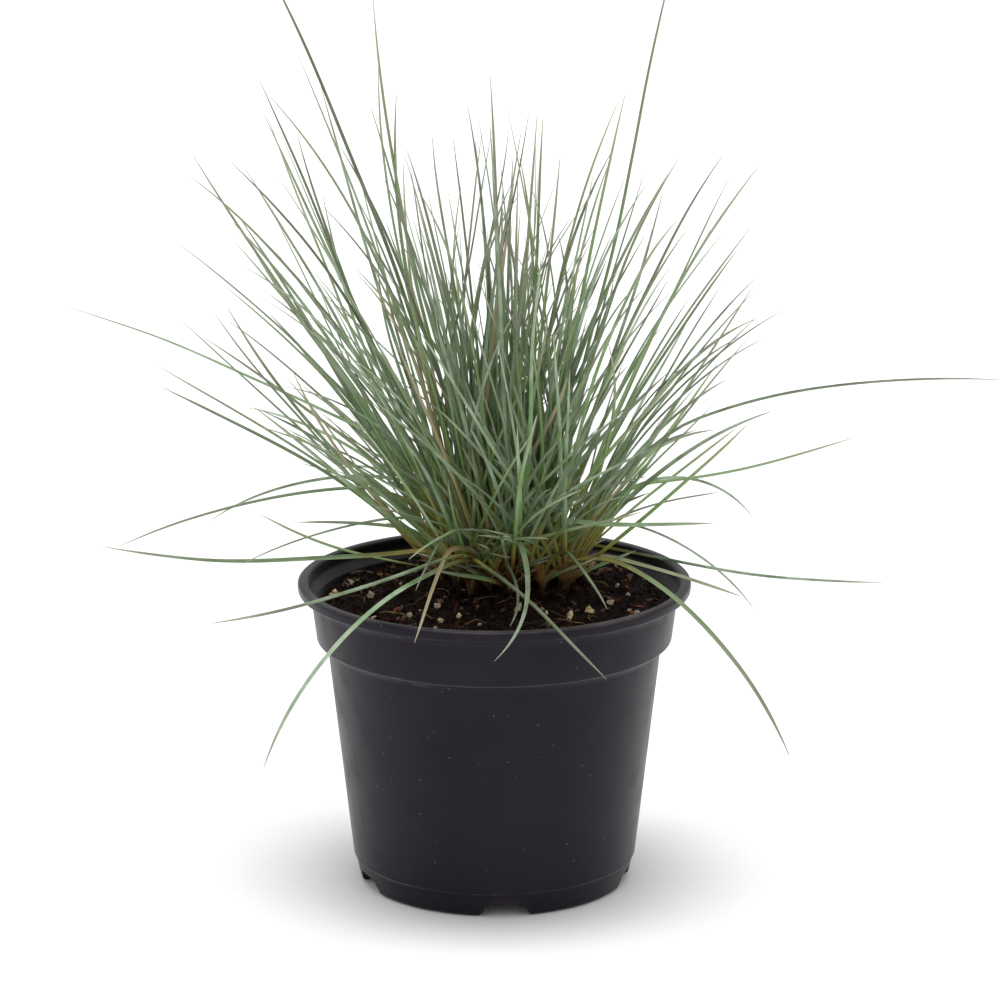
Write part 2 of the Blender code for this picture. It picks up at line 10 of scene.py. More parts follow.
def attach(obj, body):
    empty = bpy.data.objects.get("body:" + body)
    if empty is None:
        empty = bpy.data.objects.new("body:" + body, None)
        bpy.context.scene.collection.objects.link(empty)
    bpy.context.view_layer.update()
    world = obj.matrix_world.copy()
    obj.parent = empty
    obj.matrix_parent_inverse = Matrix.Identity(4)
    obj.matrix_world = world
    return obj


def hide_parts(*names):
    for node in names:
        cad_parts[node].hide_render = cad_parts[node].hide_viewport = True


# The looks of a clump of blue fescue in a round nursery pot.
# Lengths are in millimetres until a mesh is made. The pot's axis is at x = y = 0, and -Y is the front.
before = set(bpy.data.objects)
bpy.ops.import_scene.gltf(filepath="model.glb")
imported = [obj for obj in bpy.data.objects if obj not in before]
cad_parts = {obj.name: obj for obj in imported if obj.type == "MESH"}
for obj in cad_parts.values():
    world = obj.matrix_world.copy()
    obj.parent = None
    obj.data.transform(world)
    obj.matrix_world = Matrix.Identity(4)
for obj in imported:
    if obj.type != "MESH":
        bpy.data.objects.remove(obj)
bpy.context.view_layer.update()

MM = 0.001
GAP = 0.3
MERGE_DISTANCE = 0.00001
SEED = 11

# View
CAMERA_PLACE = (1.5, -1093.0, 384.3)
CAMERA_PITCH = 14.38
CAMERA_LENS = 153.1
SENSOR_WIDTH = 36.0

# Floor and light: a white surround, and soft lights overhead, side by side and a little behind
FLOOR_SIZE = 24000.0
WORLD_STRENGTH = 0.72
OVERHEAD_STRENGTH = 1.7
OVERHEAD_SPREAD = 24.0
OVERHEAD_TILT = -1.5
TILTS_ASIDE = (-10.0, 0.0, 10.0)

# Colours, as red, green, blue and 1
WHITE = (1.0, 1.0, 1.0, 1.0)
FLOOR_WHITE = (0.99, 0.99, 0.99, 1.0)
GREY = (0.2, 0.2, 0.2, 1.0)
PLASTIC_DARK = (0.0074, 0.0048, 0.0108, 1.0)
PLASTIC_PALE = (0.0091, 0.0063, 0.0133, 1.0)
# Painted highlight: the light grey that the pot's convex edges are lightened towards
PLASTIC_EDGE_HIGHLIGHT = (0.085, 0.085, 0.086, 1.0)
POT_DUST = (0.30, 0.27, 0.24, 1.0)
# Painted shade: the near black that the pot's inward-facing faces are darkened towards
PAINTED_INSIDE_SHADE = (0.0030, 0.0022, 0.0020, 1.0)
PEAT_DARK = (0.0080, 0.0045, 0.0030, 1.0)
PEAT_WARM = (0.034, 0.0150, 0.0080, 1.0)
PERLITE_CREAM = (0.62, 0.51, 0.34, 1.0)
PERLITE_STAIN = (0.27, 0.18, 0.09, 1.0)
BARK_DARK = (0.05, 0.022, 0.012, 1.0)
BARK_WARM = (0.16, 0.075, 0.04, 1.0)
FIBRE_BROWN = (0.055, 0.028, 0.015, 1.0)
FIBRE_TAN = (0.16, 0.095, 0.05, 1.0)
LEAF_WAX = (0.44, 0.56, 0.42, 1.0)
LEAF_RIB = (0.46, 0.55, 0.37, 1.0)

# Colours of a living and of a dry blade, from its foot at 0 to its tip at 1
LIVING_STOPS = (
    (0.0, (0.290, 0.250, 0.048, 1.0)),
    (0.12, (0.240, 0.285, 0.062, 1.0)),
    (0.35, (0.136, 0.232, 0.066, 1.0)),
    (0.60, (0.148, 0.224, 0.090, 1.0)),
    (0.80, (0.176, 0.210, 0.118, 1.0)),
    (0.94, (0.27, 0.28, 0.175, 1.0)),
    (1.0, (0.36, 0.32, 0.22, 1.0)),
)
STRAW_STOPS = (
    (0.0, (0.17, 0.095, 0.03, 1.0)),
    (0.3, (0.38, 0.29, 0.14, 1.0)),
    (1.0, (0.50, 0.43, 0.29, 1.0)),
)
# Colours of the clump's foot from the soil at 0 up: brown and olive, painted near black at the soil as
# shade;
# and the levels in metres and the shares of a blade between which they change and fade
FOOT_AND_SHADE_STOPS = (
    (0.0, (0.030, 0.016, 0.009, 1.0)),
    (0.35, (0.215, 0.100, 0.034, 1.0)),
    (0.9, (0.370, 0.325, 0.075, 1.0)),
)
FOOT_LEVELS = (0.081, 0.101)
FOOT_FADE_LEVELS = (0.092, 0.120)
FOOT_FADE_SHARES = (0.14, 0.36)
FOOT_PATCHINESS = 0.008

# Finish of the leaves: how much wax each has, from where on, how its ribs show, and how rough it is
WAX_STRENGTHS = (0.15, 0.85)
WAX_STARTS = (0.1, 0.4)
RIB_COUNT = 9.0
RIB_STRENGTH = 0.2
LEAF_ROUGHNESS = (0.42, 0.58)

# Finish of the pot: which edges get a painted highlight and how strong it is, what faces inwards and how
# far that is painted dark as shade, and how rough the plastic and its dust are
HIGHLIGHT_EDGES = (0.52, 0.62)
EDGE_HIGHLIGHT = 0.5
INWARD_FACING = (-0.01, 0.004)
INSIDE_SHADE_STRENGTH = 0.9
POT_ROUGHNESS = (0.40, 0.50)
DUST_ROUGHNESS = 0.4

# Edges that show sharp, by the degrees between their faces
SHARP_POT = 32.0
SHARP_CRUMB = 40.0
SHARP_PERLITE = 35.0
SHARP_CHIP = 30.0
SHARP_LEAF = 62.0

# Pot: outer radii and heights above the standing level
POT_STEPS = 200
ARC_STEPS = 5
ARC_SHARE = 0.49
LIP_RADIUS = 52.5
LIP_LEVEL = 81.7
LIP_CREST = 82.5
LIP_INNER_RADIUS = 49.6
RIDGE_RADIUS = 48.7
RIDGE_LEVEL = 77.3
RIDGE_STEP = 0.2
BAND_FOOT_RADIUS = 47.4
BAND_FOOT_LEVEL = 67.3
WALL_TOP_RADIUS = 44.6
WALL_TOP_LEVEL = 65.2
FOOT_LINE_RADIUS = 38.0
FOOT_LINE_LEVEL = 7.0
FOOT_RADIUS = 35.3
FOOT_INNER_RADIUS = 34.2
WALL = 1.0
FLOOR_UNDERSIDE = 4.6
FLOOR_TOP = 5.7
NOTCH_COUNT = 5
NOTCH_BEARING = -85.5
NOTCH_TOP_WIDTH = 9.0
NOTCH_BOTTOM_WIDTH = 14.0
NOTCH_HEIGHT = 4.0
NOTCH_CORNER = 0.9
DRAIN_RADIUS = 3.5
DRAIN_PITCH_RADIUS = 27.0
DRAIN_SIDES = 32
CUTTER_OVERLAP = 3.0

# Soil: flat at the crown, falling to the wall, with swells as (height, waves per millimetre) that
# are calm at the crown and full from some way beyond it
SOIL_STEPS = 180
SOIL_RINGS = 70
SOIL_CROWN_LEVEL = 79.0
SOIL_SURFACE_DEPTH = 0.5
SOIL_SINK = 0.45
SOIL_FALL = 0.106
SOIL_WALL_GAP = 0.4
CROWN_FLAT_RADIUS = 21.5
SOIL_SWELLS = ((0.75, 0.09), (0.55, 0.33), (0.35, 0.95))
SWELL_LEVEL = 3.0
CALM_SHARE = 0.35
CALM_REACH = 14.0
SPOT_MARGIN = 1.6
LUMP_WAVES = 1.3
LUMP_PATTERN_SPREAD = 90.0

# Peat crumbs: how many, how finely modelled, their sizes, how far their middles stand up, and
# whether they lie among the tillers' feet
CRUMBS = (
    (2600, 1, (0.25, 0.7), 0.25, False),
    (900, 2, (0.5, 1.25), 0.25, False),
    (420, 2, (0.6, 1.5), 0.7, True),
)
CRUMB_SHARES = (0.6, 1.0)
CRUMB_THICKNESSES = (0.5, 0.9)
CRUMB_ROUGHNESS = 0.9
CROWN_CRUMB_REACH = 1.15

# Perlite: the grains that show plainly as (x, y, size), and more that are scattered round the crown
PERLITE_SHOWN = (
    (-22, -17, 1.0), (-15, -13, 1.1), (-14, -23, 0.9), (20, -20, 1.2), (25, -15, 1.2),
    (31, -8, 1.1), (-43, 7, 1.2), (-39, 17, 1.0), (-36, 11, 0.8), (-33, 1, 1.0),
)
PERLITE_SCATTERED = 45
PERLITE_INNER_REACH = 12.0
PERLITE_SIZES = (0.35, 1.0)
PERLITE_FINENESS = 3
PERLITE_BREADTHS = (0.65, 1.0)
PERLITE_THICKNESSES = (0.6, 0.9)
PERLITE_ROUGHNESS = 0.75
PERLITE_LIFTS = (0.1, 0.5)

# Bark chips: the ones that show plainly as (x, y, length), and more that are scattered
CHIPS_SHOWN = ((27, 32, 2.6), (35, 17, 2.2), (14, -27, 2.4), (-28, -20, 2.0))
CHIPS_SCATTERED = 110
CHIP_INNER_REACH = 8.0
CHIP_LENGTHS = (0.8, 2.4)
CHIP_FINENESS = 2
CHIP_STRETCH = (1.0, 0.45, 0.28)
CHIP_ROUGHNESS = 0.7
CHIP_FLATTENING = 0.5
CHIP_LIFT = 0.16

# Twigs that show at the front, each by its two ends on the soil, and root threads that are scattered
TWIGS_SHOWN = (
    ((-9, 2), (-3, 12)), ((-6, -12), (2, -6)), ((16, -24), (24, -27)), ((-30, -14), (-22, -20)),
)
TWIG_RADIUS = 0.28
THREADS_SCATTERED = 60
THREAD_INNER_REACH = 6.0
THREAD_WALL_MARGIN = 2.0
THREAD_LENGTHS = (2.5, 11.0)
THREAD_RADII = (0.06, 0.17)
THREAD_POINTS = 9
THREAD_SIDES = 4
THREAD_BOW = 0.25
THREAD_LIFT = 0.5
THREAD_TAPER = ((0.0, 0.1, 0.8, 1.0), (0.5, 1.0, 0.8, 0.2))
NEVER_ALONG = (0.31, 0.17, 0.93)

# Crown of the clump, and the leaf blades
CROWN_CENTRE = (4.0, 9.0)
CROWN_RADII = (19.0, 14.0)
TILLER_COUNT = 42
TILLER_BLADES = 4
GOLDEN_ANGLE = math.radians(137.508)
OUTERMOST_SHARE = 0.95
SHARE_PER_LEAN = 1.15
LEAST_POINTS = 4
MOST_POINTS = 9
KNEE_POINTS = 5
BEND_PER_POINT = 14.0
SHEATH_RADIUS = 1.15
SHEATH_HEIGHT = 3.4
BLADE_ROOT_HEIGHT = 1.5
BLADE_ROOT_OFFSET = 0.45
BLADE_ROOT_RADIUS = 0.45
TIP_RADIUS = 0.16
BLADE_WIDTH = 0.9
BLADE_BELLY = 0.06
BLADE_STATIONS = (0.0, 0.25, 0.7, 1.0)

# Room between the main blades: one that touches another is swung round the clump by these degrees
BLADE_GAP = 0.35
BLADE_UNDERSIDE = 0.9
CHECKED_POINTS = 80
RIM_MARGIN = 1.5
SWINGS = (0, 2, -2, 4, -4, 6, -6, 9, -9, 12, -12, 16, -16)
TILLERS_TRIED = 6

# Seeded blades of the dense middle: degrees of lean, and lengths
FILL_BLADES = 42
TRIES_EACH = 4
FILL_REACH_BACK = 84.0
FILL_REACH_RIGHT = 66.0
FILL_LEAST_LEAN = 4.0
FILL_MIDDLE_LEAN = 8.0
FILL_OUTER_LEAN = 42.0
FILL_LEAN_SPREAD = 9.0
FILL_BEARING_SPREAD = 25.0
FILL_LENGTHS = (78.0, 122.0)
FILL_RISES = (3.0, 14.0)
FILL_BOWS = (3.0, 18.0)

# Fine blades between the main ones, and how dry they are
FINE_WIDTHS = (0.5, 1.1)
FINE_LEFT_REACH = 92.0
FINE_RIGHT_REACH = 68.0
FINE_DEPTH_REACH = 81.0
DEAD_SHARE = 0.03
DEAD_DRYNESS = (0.6, 1.0)
FRESH_DRYNESS = (-0.3, 0.25)

# Some of them lean nearly as a main blade does
COMPANIONS = 140
COMPANIONS_LEFT = 12.0
COMPANION_SHARES = (0.5, 0.95)
COMPANION_SWING = 8.0
COMPANION_LEVELS = (110.0, 240.0)
COMPANION_RISES = (-8.0, 10.0)
COMPANION_BOWS = (-6.0, 14.0)
NEIGHBOURS = 14

# Others lean across the clump
CROSSING_BLADES = 172
CROSSING_LEANS = (0.0, 50.0)
CROSSING_LENGTHS = (60.0, 134.0)
CROSSING_SHORTENING = 0.36
CROSSING_RISES = (-6.0, 22.0)
CROSSING_BOWS = (-8.0, 26.0)
CROSSING_TURN = 22.0
THINNER_RIGHT = 0.55

# Short ones lie low across the front of the crown
TANGLE_BLADES = 48
TANGLE_WIDTHS = (0.7, 1.3)
TANGLE_LEANS = (30.0, 66.0)
TANGLE_LENGTHS = (18.0, 50.0)
TANGLE_BEARING = -90.0
TANGLE_SPREAD = 62.0
TANGLE_RISES = (10.0, 40.0)
TANGLE_BOWS = (0.0, 25.0)
TANGLE_TURN = 30.0
TANGLE_ROW = 6.0

# Section of a folded blade, as (across, up) in half widths: a groove above and a keel below
BLADE_SECTION = np.array([(-1.0, 0.30), (-0.45, 0.16), (0.0, -0.10), (0.45, 0.16),
                          (1.0, 0.30), (0.62, -0.42), (0.0, -0.78), (-0.62, -0.42)])
# Its width from its foot at 0 to its tip at 1, and how it twists and wanders
BLADE_RINGS = 30
BLADE_PROFILE = ((0.0, 0.06, 0.3, 0.62, 0.88, 1.0), (1.15, 1.0, 1.12, 0.98, 0.70, 0.14))
TWIST_SPREAD = 38.0
WANDER = 1.2
WANDER_LENGTH = 45.0
WANDER_PATTERN_SPREAD = 50.0
# Widths of plain blades, and the widths that folded ones have in their place
PLAIN_WIDTHS = (0.5, 0.9, 1.6)
FOLDED_WIDTHS = (0.6, 1.0, 1.32)
# Quads that close the end of a blade or thread, by the number of its sides
END_QUADS = {4: [(0, 1, 2, 3)], 8: [(0, 1, 2, 3), (0, 3, 4, 7), (4, 5, 6, 7)]}

# Sheaths rolled round a tiller's foot
SHEATH_WRAPS = 5
SHEATH_RINGS = 6
SHEATH_SIDES = 8
SHEATH_STRETCHES = (1.0, 3.2)
SHEATH_SCATTER = 0.45
SHEATH_SPLAY = 1.4
SHEATH_SINK = 0.3
SHEATH_LEAST_RISE = 0.45
SHEATH_RADII = (0.34, 0.62)
SHEATH_TAPER = ((0.0, 0.6, 1.0), (1.0, 0.85, 0.3))
SHEATH_DRYNESS = (0.1, 0.3)
SHEATH_SHADE = 0.02
SHEATH_SHADE_RANGE = 0.05

# Husks: short, dry, curled blades from an earlier season
HUSKS_EACH = (1, 3)
HUSK_RINGS = 12
HUSK_LENGTHS = (5.0, 15.0)
HUSK_WIDTHS = (0.35, 0.8)
HUSK_LEANS = (8.0, 45.0)
HUSK_SCATTER = 0.9
HUSK_CURL = 0.6
HUSK_SAG = 0.25
HUSK_LIFT = 0.6
HUSK_DRYNESS = (0.7, 1.0)


def blade(tip, rise, bow, width=BLADE_WIDTH, root=None, turn=0.0, knee=None, dry=0.0):
    """One leaf blade: its tip, how many degrees it leaves steeper than its chord and ends flatter.

    root is the place in the crown that it grows from, where that isn't the side it leans to, turn is
    how many degrees its tip curls sideways, and dry is how far it has turned to straw. A knee is a
    place where it bends over: it leaves the crown rise degrees steeper than the way to the knee, and
    is an arc from there on.
    """
    return {"tip": np.array(tip, float), "rise": rise, "bow": bow, "width": width, "root": root,
            "turn": turn, "knee": None if knee is None else np.array(knee, float), "dry": dry}


# The blades that stand clear of the clump, by the side they show on
LOW_LEFT = [
    blade((-121, 80, 140), 20, 4, knee=(-34, 24, 117)),
    blade((-77, 20, 93), 40, 22, knee=(-25, 6, 108)),
    blade((-99, -10, 94), 50, 10, 1.1, root=(-6, 0), knee=(-38, -2, 108)),
    blade((-105, 5, 90), 60, -9, 1.1, root=(-3, 2), knee=(-20, 1, 90)),
    blade((-64, 35, 91), -6, -14),
    blade((-53, 15, 94), 40, 4, knee=(-25, 6, 95)),
    blade((-66, -25, 93), 50, 13, root=(-8, -1), knee=(-26, -8, 101)),
    blade((-71, -66, 89), 60, -6, 1.5, root=(-3, -2), knee=(-24, -38, 94)),
    blade((-58, -72, 53), 60, 25, 1.5, root=(0, -4), knee=(-20, -36, 92)),
    blade((-22, 1, 105), 10, 12, root=(-13, 0), dry=0.8),
]
LEFT = [
    blade((-90, 20, 136), 15, 3),
    blade((-86, -15, 138), 18, 8),
    blade((-85, 40, 144), 5, 2),
    blade((-74, 0, 156), -5, -7),
    blade((-65, -20, 157), -6, -10),
    blade((-74, 60, 140), 12, 15),
    blade((-63, -30, 137), 5, 4),
    blade((-63, 35, 120), 12, 14),
]
UPPER_LEFT = [
    blade((-87, 50, 164), 14, 14),
    blade((-74, -20, 175), 20, 25),
    blade((-86, 20, 184), 22, 22),
    blade((-82, 50, 188), 4, -2),
    blade((-67, -20, 198), 14, 16),
    blade((-65, 30, 178), 2, 2),
    blade((-57, -30, 196), 1, 3),
    blade((-73, 70, 161), 8, 9),
    blade((-62, 40, 201), 0, 0),
    blade((-59, 0, 213), 14, 19),
    blade((-54, -30, 219), 0, 0),
    blade((-54, 60, 192), -5, -10),
    blade((-51, 10, 221), 2, 3),
    blade((-47, 50, 207), -3, -4),
    blade((-39, -25, 203), 10, 14),
    blade((-61, 20, 246), 9, 8, 1.2),
]
TOP = [
    blade((-32, 25, 235), -6, -9),
    blade((-31, -10, 223), -4, -14),
    blade((-31, -35, 215), 3, 3),
    blade((-22, -30, 203), 6, 10),
    blade((-11, 30, 196), 3, 3),
    blade((-7, 10, 208), 3, 6),
    blade((-1, 0, 217), 2, 2),
    blade((-1, -30, 209), 3, 6),
    blade((5, 40, 189), 3, 6),
    blade((11, -15, 210), 3, 3),
    blade((13, 30, 202), 3, 3),
    blade((18, 60, 186), 3, 3),
    blade((23, -25, 196), 3, 3),
    blade((33, 30, 206), 10, 15),
    blade((34, 0, 213), 2, 3),
    blade((31, -40, 195), 9, 20),
]
UPPER_RIGHT = [
    blade((47, 15, 247), 1, 0, 1.4),
    blade((50, 50, 187), 12, 20),
    blade((40, 25, 188), 4, 4),
    blade((43, -20, 190), -4, -5),
    blade((46, -45, 188), 10, 22),
    blade((60, 0, 194), 11, 13, 1.4),
    blade((64, 50, 182), 0, 2),
    blade((69, 25, 190), 12, 13, 1.4),
    blade((65, -30, 183), 10, 8),
    blade((69, 10, 162), 14, 14, 1.2),
    blade((71, 50, 152), -5, 0),
    blade((63, -40, 160), 14, 20),
    blade((72, 30, 141), 20, 24),
    blade((55, 70, 140), 0, 0),
]
RIGHT = [
    blade((123, -85, 156), 20, 9, 1.3, knee=(53, -22, 132)),
    blade((97, 25, 115), 40, -6, knee=(42, 12, 106)),
    blade((67, 50, 112), 4, 2, root=(22, 14)),
    blade((71, -10, 128), 28, 24, 1.2),
    blade((62, -35, 132), 0, -4),
    blade((62, 60, 128), 0, -4),
    blade((57, -20, 135), 12, 5),
    blade((63, 60, 91), 30, 12),
]
LOW_RIGHT = [
    blade((71, 40, 89), 40, 25, knee=(45, 24, 104)),
    blade((57, -24, 104), 60, -4, 1.5, root=(4, -1), knee=(18, -6, 101)),
    blade((103, -6, 83), 60, -6, 1.6, root=(10, 4), knee=(28, 5, 90)),
    blade((65, -16, 82), 60, 2, 1.5, root=(12, -3), knee=(32, 2, 88), dry=0.35),
    blade((72, 42, 62), 60, 16, root=(14, 10), knee=(38, 18, 92)),
    blade((75, -62, 53), 60, 25, 1.5, root=(12, -4), knee=(33, -14, 90)),
]
FRONT = [
    blade((-20, -66, 84), 60, 2, 1.2, root=(-2, -4), knee=(-13, -26, 96), dry=0.9),
    blade((28, -78, 78), 60, 4, 1.6, root=(-6, -2), knee=(-4, -20, 92)),
    blade((0, -76, 82), 60, 6, 1.6, root=(11, 0), turn=-30, knee=(7, -24, 97)),
    blade((2, -48, 83), 60, 10, root=(0, -4), turn=-25, knee=(3, -18, 91)),
    blade((29, -42, 86), 60, 4, 1.4, root=(13, -4), knee=(20, -16, 93)),
    blade((-22, -34, 97), 60, 8, 1.2, root=(-3, -2), knee=(-10, -18, 101)),
    blade((-20, -46, 92), 50, 6, 1.2, root=(-6, -2), knee=(-15, -26, 99)),
]
# Blades on the far side, which close the clump behind
BACK = [
    blade((-70, 82, 110), 30, 22),
    blade((-42, 84, 128), 22, 20),
    blade((-15, 85, 118), 30, 24),
    blade((12, 84, 138), 18, 18),
    blade((38, 84, 122), 26, 22),
    blade((62, 80, 104), 34, 26),
    blade((-45, 66, 96), 48, 34),
    blade((20, 78, 92), 52, 36),
]
# Blades that lie across the front of the clump, among the fine ones
FRONT_CROSSING = [
    blade((-40, -38, 153), 8, 6, 1.1, root=(12, -3)),
    blade((-19, -50, 161), 6, 4, 1.0, root=(19, 1)),
    blade((1, -46, 156), 4, 4, 1.0, root=(15, -2)),
    blade((44, -34, 146), 8, 8, 1.4, root=(-2, -3)),
    blade((15, -42, 158), 4, 6, 1.1, root=(17, -1)),
    blade((39, -30, 118), 24, 18, 1.3, root=(-5, -2)),
    blade((-34, -24, 118), 20, 14, 1.2, root=(3, -4)),
    blade((17, -50, 133), 14, 14, 1.1, root=(0, -4)),
    blade((-6, -48, 135), 12, 12, 1.1, root=(10, -4)),
    blade((27, -44, 135), 12, 14, 1.2, root=(6, -4)),
    blade((-23, -40, 130), 14, 12, 1.1, root=(-4, -2)),
    blade((-25, -30, 153), 6, 4, 1.1, root=(0, -2), dry=1.0),
    blade((-30, -36, 139), 12, 6, 1.3, root=(16, -2)),
    blade((-14, -52, 141), 10, 8, 1.2, root=(20, 2)),
    blade((3, -56, 147), 8, 6, 1.2, root=(22, 2)),
    blade((19, -52, 151), 2, 4, 1.3, root=(20, 0)),
    blade((46, -44, 132), 14, 8, 1.3, root=(-8, 0)),
    blade((33, -50, 140), 10, 8, 1.2, root=(-10, 2)),
    blade((10, -56, 136), 12, 10, 1.1, root=(-12, 2)),
    blade((-10, -50, 124), 18, 14, 1.2, root=(12, -4)),
    blade((22, -48, 119), 22, 14, 1.2, root=(-2, -4)),
    blade((38, -24, 107), 34, 4, 1.3, root=(-8, -4)),
    blade((-32, -20, 108), 34, 8, 1.3, root=(10, -4)),
    blade((-4, -44, 106), 36, 16, 1.1, root=(14, -3)),
    blade((14, -40, 104), 38, 18, 1.1, root=(-4, -4)),
]
SHOWN_BLADES = LOW_LEFT + LOW_RIGHT + FRONT + LEFT + RIGHT + UPPER_LEFT + UPPER_RIGHT + TOP + BACK


# Growth of the clump, by the rule that sets its tillers and main blades

def tiller_spots():
    """Places of the tillers in the crown, spread evenly by the golden angle."""
    spots = []
    for index in range(TILLER_COUNT):
        reach = math.sqrt((index + 0.5) / TILLER_COUNT)
        bearing = index * GOLDEN_ANGLE
        spots.append((CROWN_CENTRE[0] + CROWN_RADII[0] * reach * math.cos(bearing),
                      CROWN_CENTRE[1] + CROWN_RADII[1] * reach * math.sin(bearing)))
    return np.array(spots)


def tillers_by_fit(leaf, spots):
    """Tillers in the order in which the blade would grow from them, best first."""
    if leaf["root"] is not None:
        wanted = np.array(leaf["root"], float)
    else:
        away = leaf["tip"][:2] - CROWN_CENTRE
        reach = math.hypot(*away)
        lean = math.atan2(reach, leaf["tip"][2] - SOIL_CROWN_LEVEL)
        share = min(OUTERMOST_SHARE, SHARE_PER_LEAN * math.sin(min(lean, math.pi / 2)))
        wanted = np.array(CROWN_CENTRE) + share * np.array(CROWN_RADII) * away / reach
    return np.argsort(np.hypot(*(spots - wanted).T))


def swung(place, swing):
    """A place turned by some degrees about the clump's upright middle."""
    angle = math.radians(swing)
    x, y = place[:2] - CROWN_CENTRE
    return np.array([CROWN_CENTRE[0] + x * math.cos(angle) - y * math.sin(angle),
                     CROWN_CENTRE[1] + x * math.sin(angle) + y * math.cos(angle), place[2]])


def aimed(span, steeper, turn):
    """A span tilted up by some degrees and turned sideways by others."""
    length = float(np.linalg.norm(span))
    lean = math.acos(span[2] / length) - math.radians(steeper)
    bearing = math.atan2(span[1], span[0]) + math.radians(turn)
    flat = math.sin(lean)
    return length * np.array([flat * math.cos(bearing), flat * math.sin(bearing), math.cos(lean)])


def curved(first, leaving, last, arriving, count):
    """Points of a smooth curve between two places, with its direction at each."""
    s = np.linspace(0.0, 1.0, count)[:, None]
    return ((2 * s**3 - 3 * s**2 + 1) * first + (s**3 - 2 * s**2 + s) * leaving
            + (3 * s**2 - 2 * s**3) * last + (s**3 - s**2) * arriving)


def point_count(bend):
    return min(MOST_POINTS, LEAST_POINTS + int(bend / BEND_PER_POINT))


def centreline(leaf, spot, swing, rings=None):
    """Points along a blade, on a smooth curve from its tiller, over its knee if any, to its tip.

    Without a number of rings they are as few as the blade's solid has.
    """
    rise, bow, turn = leaf["rise"], leaf["bow"], leaf["turn"]
    tip = swung(leaf["tip"], swing)
    knee = tip if leaf["knee"] is None else swung(leaf["knee"], swing)
    heading = math.atan2(knee[1] - spot[1], knee[0] - spot[0])
    base = np.array([
        spot[0] + BLADE_ROOT_OFFSET * math.cos(heading),
        spot[1] + BLADE_ROOT_OFFSET * math.sin(heading),
        SOIL_CROWN_LEVEL + GAP + BLADE_ROOT_HEIGHT,
    ])
    if leaf["knee"] is None:
        count = rings or point_count(abs(rise) + abs(bow) + abs(turn))
        span = tip - base
        return curved(base, aimed(span, rise, -turn / 2), tip, aimed(span, -bow, turn), count)
    over = aimed(tip - knee, bow, -turn / 2)
    share = np.linalg.norm(knee - base) / np.linalg.norm(tip - knee)
    before, after = KNEE_POINTS, point_count(2 * abs(bow) + 1.5 * abs(turn))
    if rings:
        before = max(KNEE_POINTS, round(rings * share / (1 + share)))
        after = rings - before + 1
    inner = curved(base, aimed(knee - base, rise, 0.0), knee, over * share, before)
    outer = curved(knee, over, tip, aimed(tip - knee, -bow, turn), after)
    return np.concatenate([inner[:-1], outer])


def blade_radii(leaf, count):
    """Half widths along a main blade's solid."""
    half = leaf["width"] / 2
    return np.interp(np.linspace(0.0, 1.0, count), BLADE_STATIONS,
                     [BLADE_ROOT_RADIUS, half + BLADE_BELLY, half, TIP_RADIUS])


def closest(starts, ends, others, other_ends):
    """Least distance between each of some segments and each of others, and where on each."""
    u = (ends - starts)[:, None]
    v = (other_ends - others)[None]
    w = starts[:, None] - others[None]
    a, b, c = (u * u).sum(-1), (u * v).sum(-1), (v * v).sum(-1)
    d, e = (u * w).sum(-1), (v * w).sum(-1)
    spread = np.maximum(a * c - b * b, 1e-9)
    s = np.clip((b * e - c * d) / spread, 0.0, 1.0)
    t = np.clip((b * s + e) / c, 0.0, 1.0)
    s = np.clip((b * t - d) / a, 0.0, 1.0)
    gap = w + s[..., None] * u - t[..., None] * v
    return np.sqrt((gap * gap).sum(-1)), s, t


def room_on(tiller, grown):
    return sum(other["tiller"] == tiller for other in grown) < TILLER_BLADES


def clearance(line, radii, grown, tiller):
    """Least gap between a blade and the blades of the other tillers."""
    least = math.inf
    for other in grown:
        if other["tiller"] == tiller:
            continue
        apart, s, t = closest(line[:-1], line[1:], other["line"][:-1], other["line"][1:])
        own = radii[:-1, None] * (1 - s) + radii[1:, None] * s
        its = other["radii"][None, :-1] * (1 - t) + other["radii"][None, 1:] * t
        least = min(least, float((apart - own - its).min()))
    return least


def finely(line, radii):
    """Many places along a blade, and its half widths there."""
    places = np.linspace(0, len(line) - 1, CHECKED_POINTS)
    index = np.arange(len(line))
    return [np.interp(places, index, row) for row in (*line.T, radii)]


def sheath_clearance(line, radii, spots, tiller):
    """Least gap between a blade's first stretch and the sheaths of the other tillers."""
    x, y, z, r = finely(line, radii)
    low = z - r < SOIL_CROWN_LEVEL + GAP + SHEATH_HEIGHT + BLADE_GAP
    if not low.any():
        return math.inf
    others = np.delete(spots, tiller, axis=0)
    apart = np.hypot(x[low, None] - others[:, 0], y[low, None] - others[:, 1])
    return float((apart - r[low, None] - SHEATH_RADIUS).min())


def pot_clearance(line, radii):
    """Least gap between a blade and the pot's lip, the pot's wall and the soil."""
    x, y, z, r = finely(line, radii)
    out = np.hypot(x, y)
    above_lip = z - LIP_CREST - r
    outside_lip = out - LIP_RADIUS - r
    near_rim = out > LIP_INNER_RADIUS - RIM_MARGIN
    over_rim = np.where(near_rim, np.maximum(above_lip, outside_lip), math.inf)
    above_soil = z - SOIL_CROWN_LEVEL - r * BLADE_UNDERSIDE
    over_soil = np.where(out <= LIP_INNER_RADIUS, above_soil, math.inf)
    return float(min(over_rim.min(), over_soil.min()))


def grow(leaf, spots, grown):
    """Set a blade on the tiller, and swing its tip round the clump, so that it touches no other."""
    choices = [t for t in tillers_by_fit(leaf, spots) if room_on(t, grown)]
    for tiller in choices[:TILLERS_TRIED]:
        for swing in SWINGS:
            line = centreline(leaf, spots[tiller], swing)
            radii = blade_radii(leaf, len(line))
            if min(pot_clearance(line, radii), sheath_clearance(line, radii, spots, tiller)) < GAP:
                continue
            if clearance(line, radii, grown, tiller) > BLADE_GAP:
                grown.append({"tiller": int(tiller), "line": line, "radii": radii,
                              "leaf": leaf, "swing": swing})
                return True
    return False


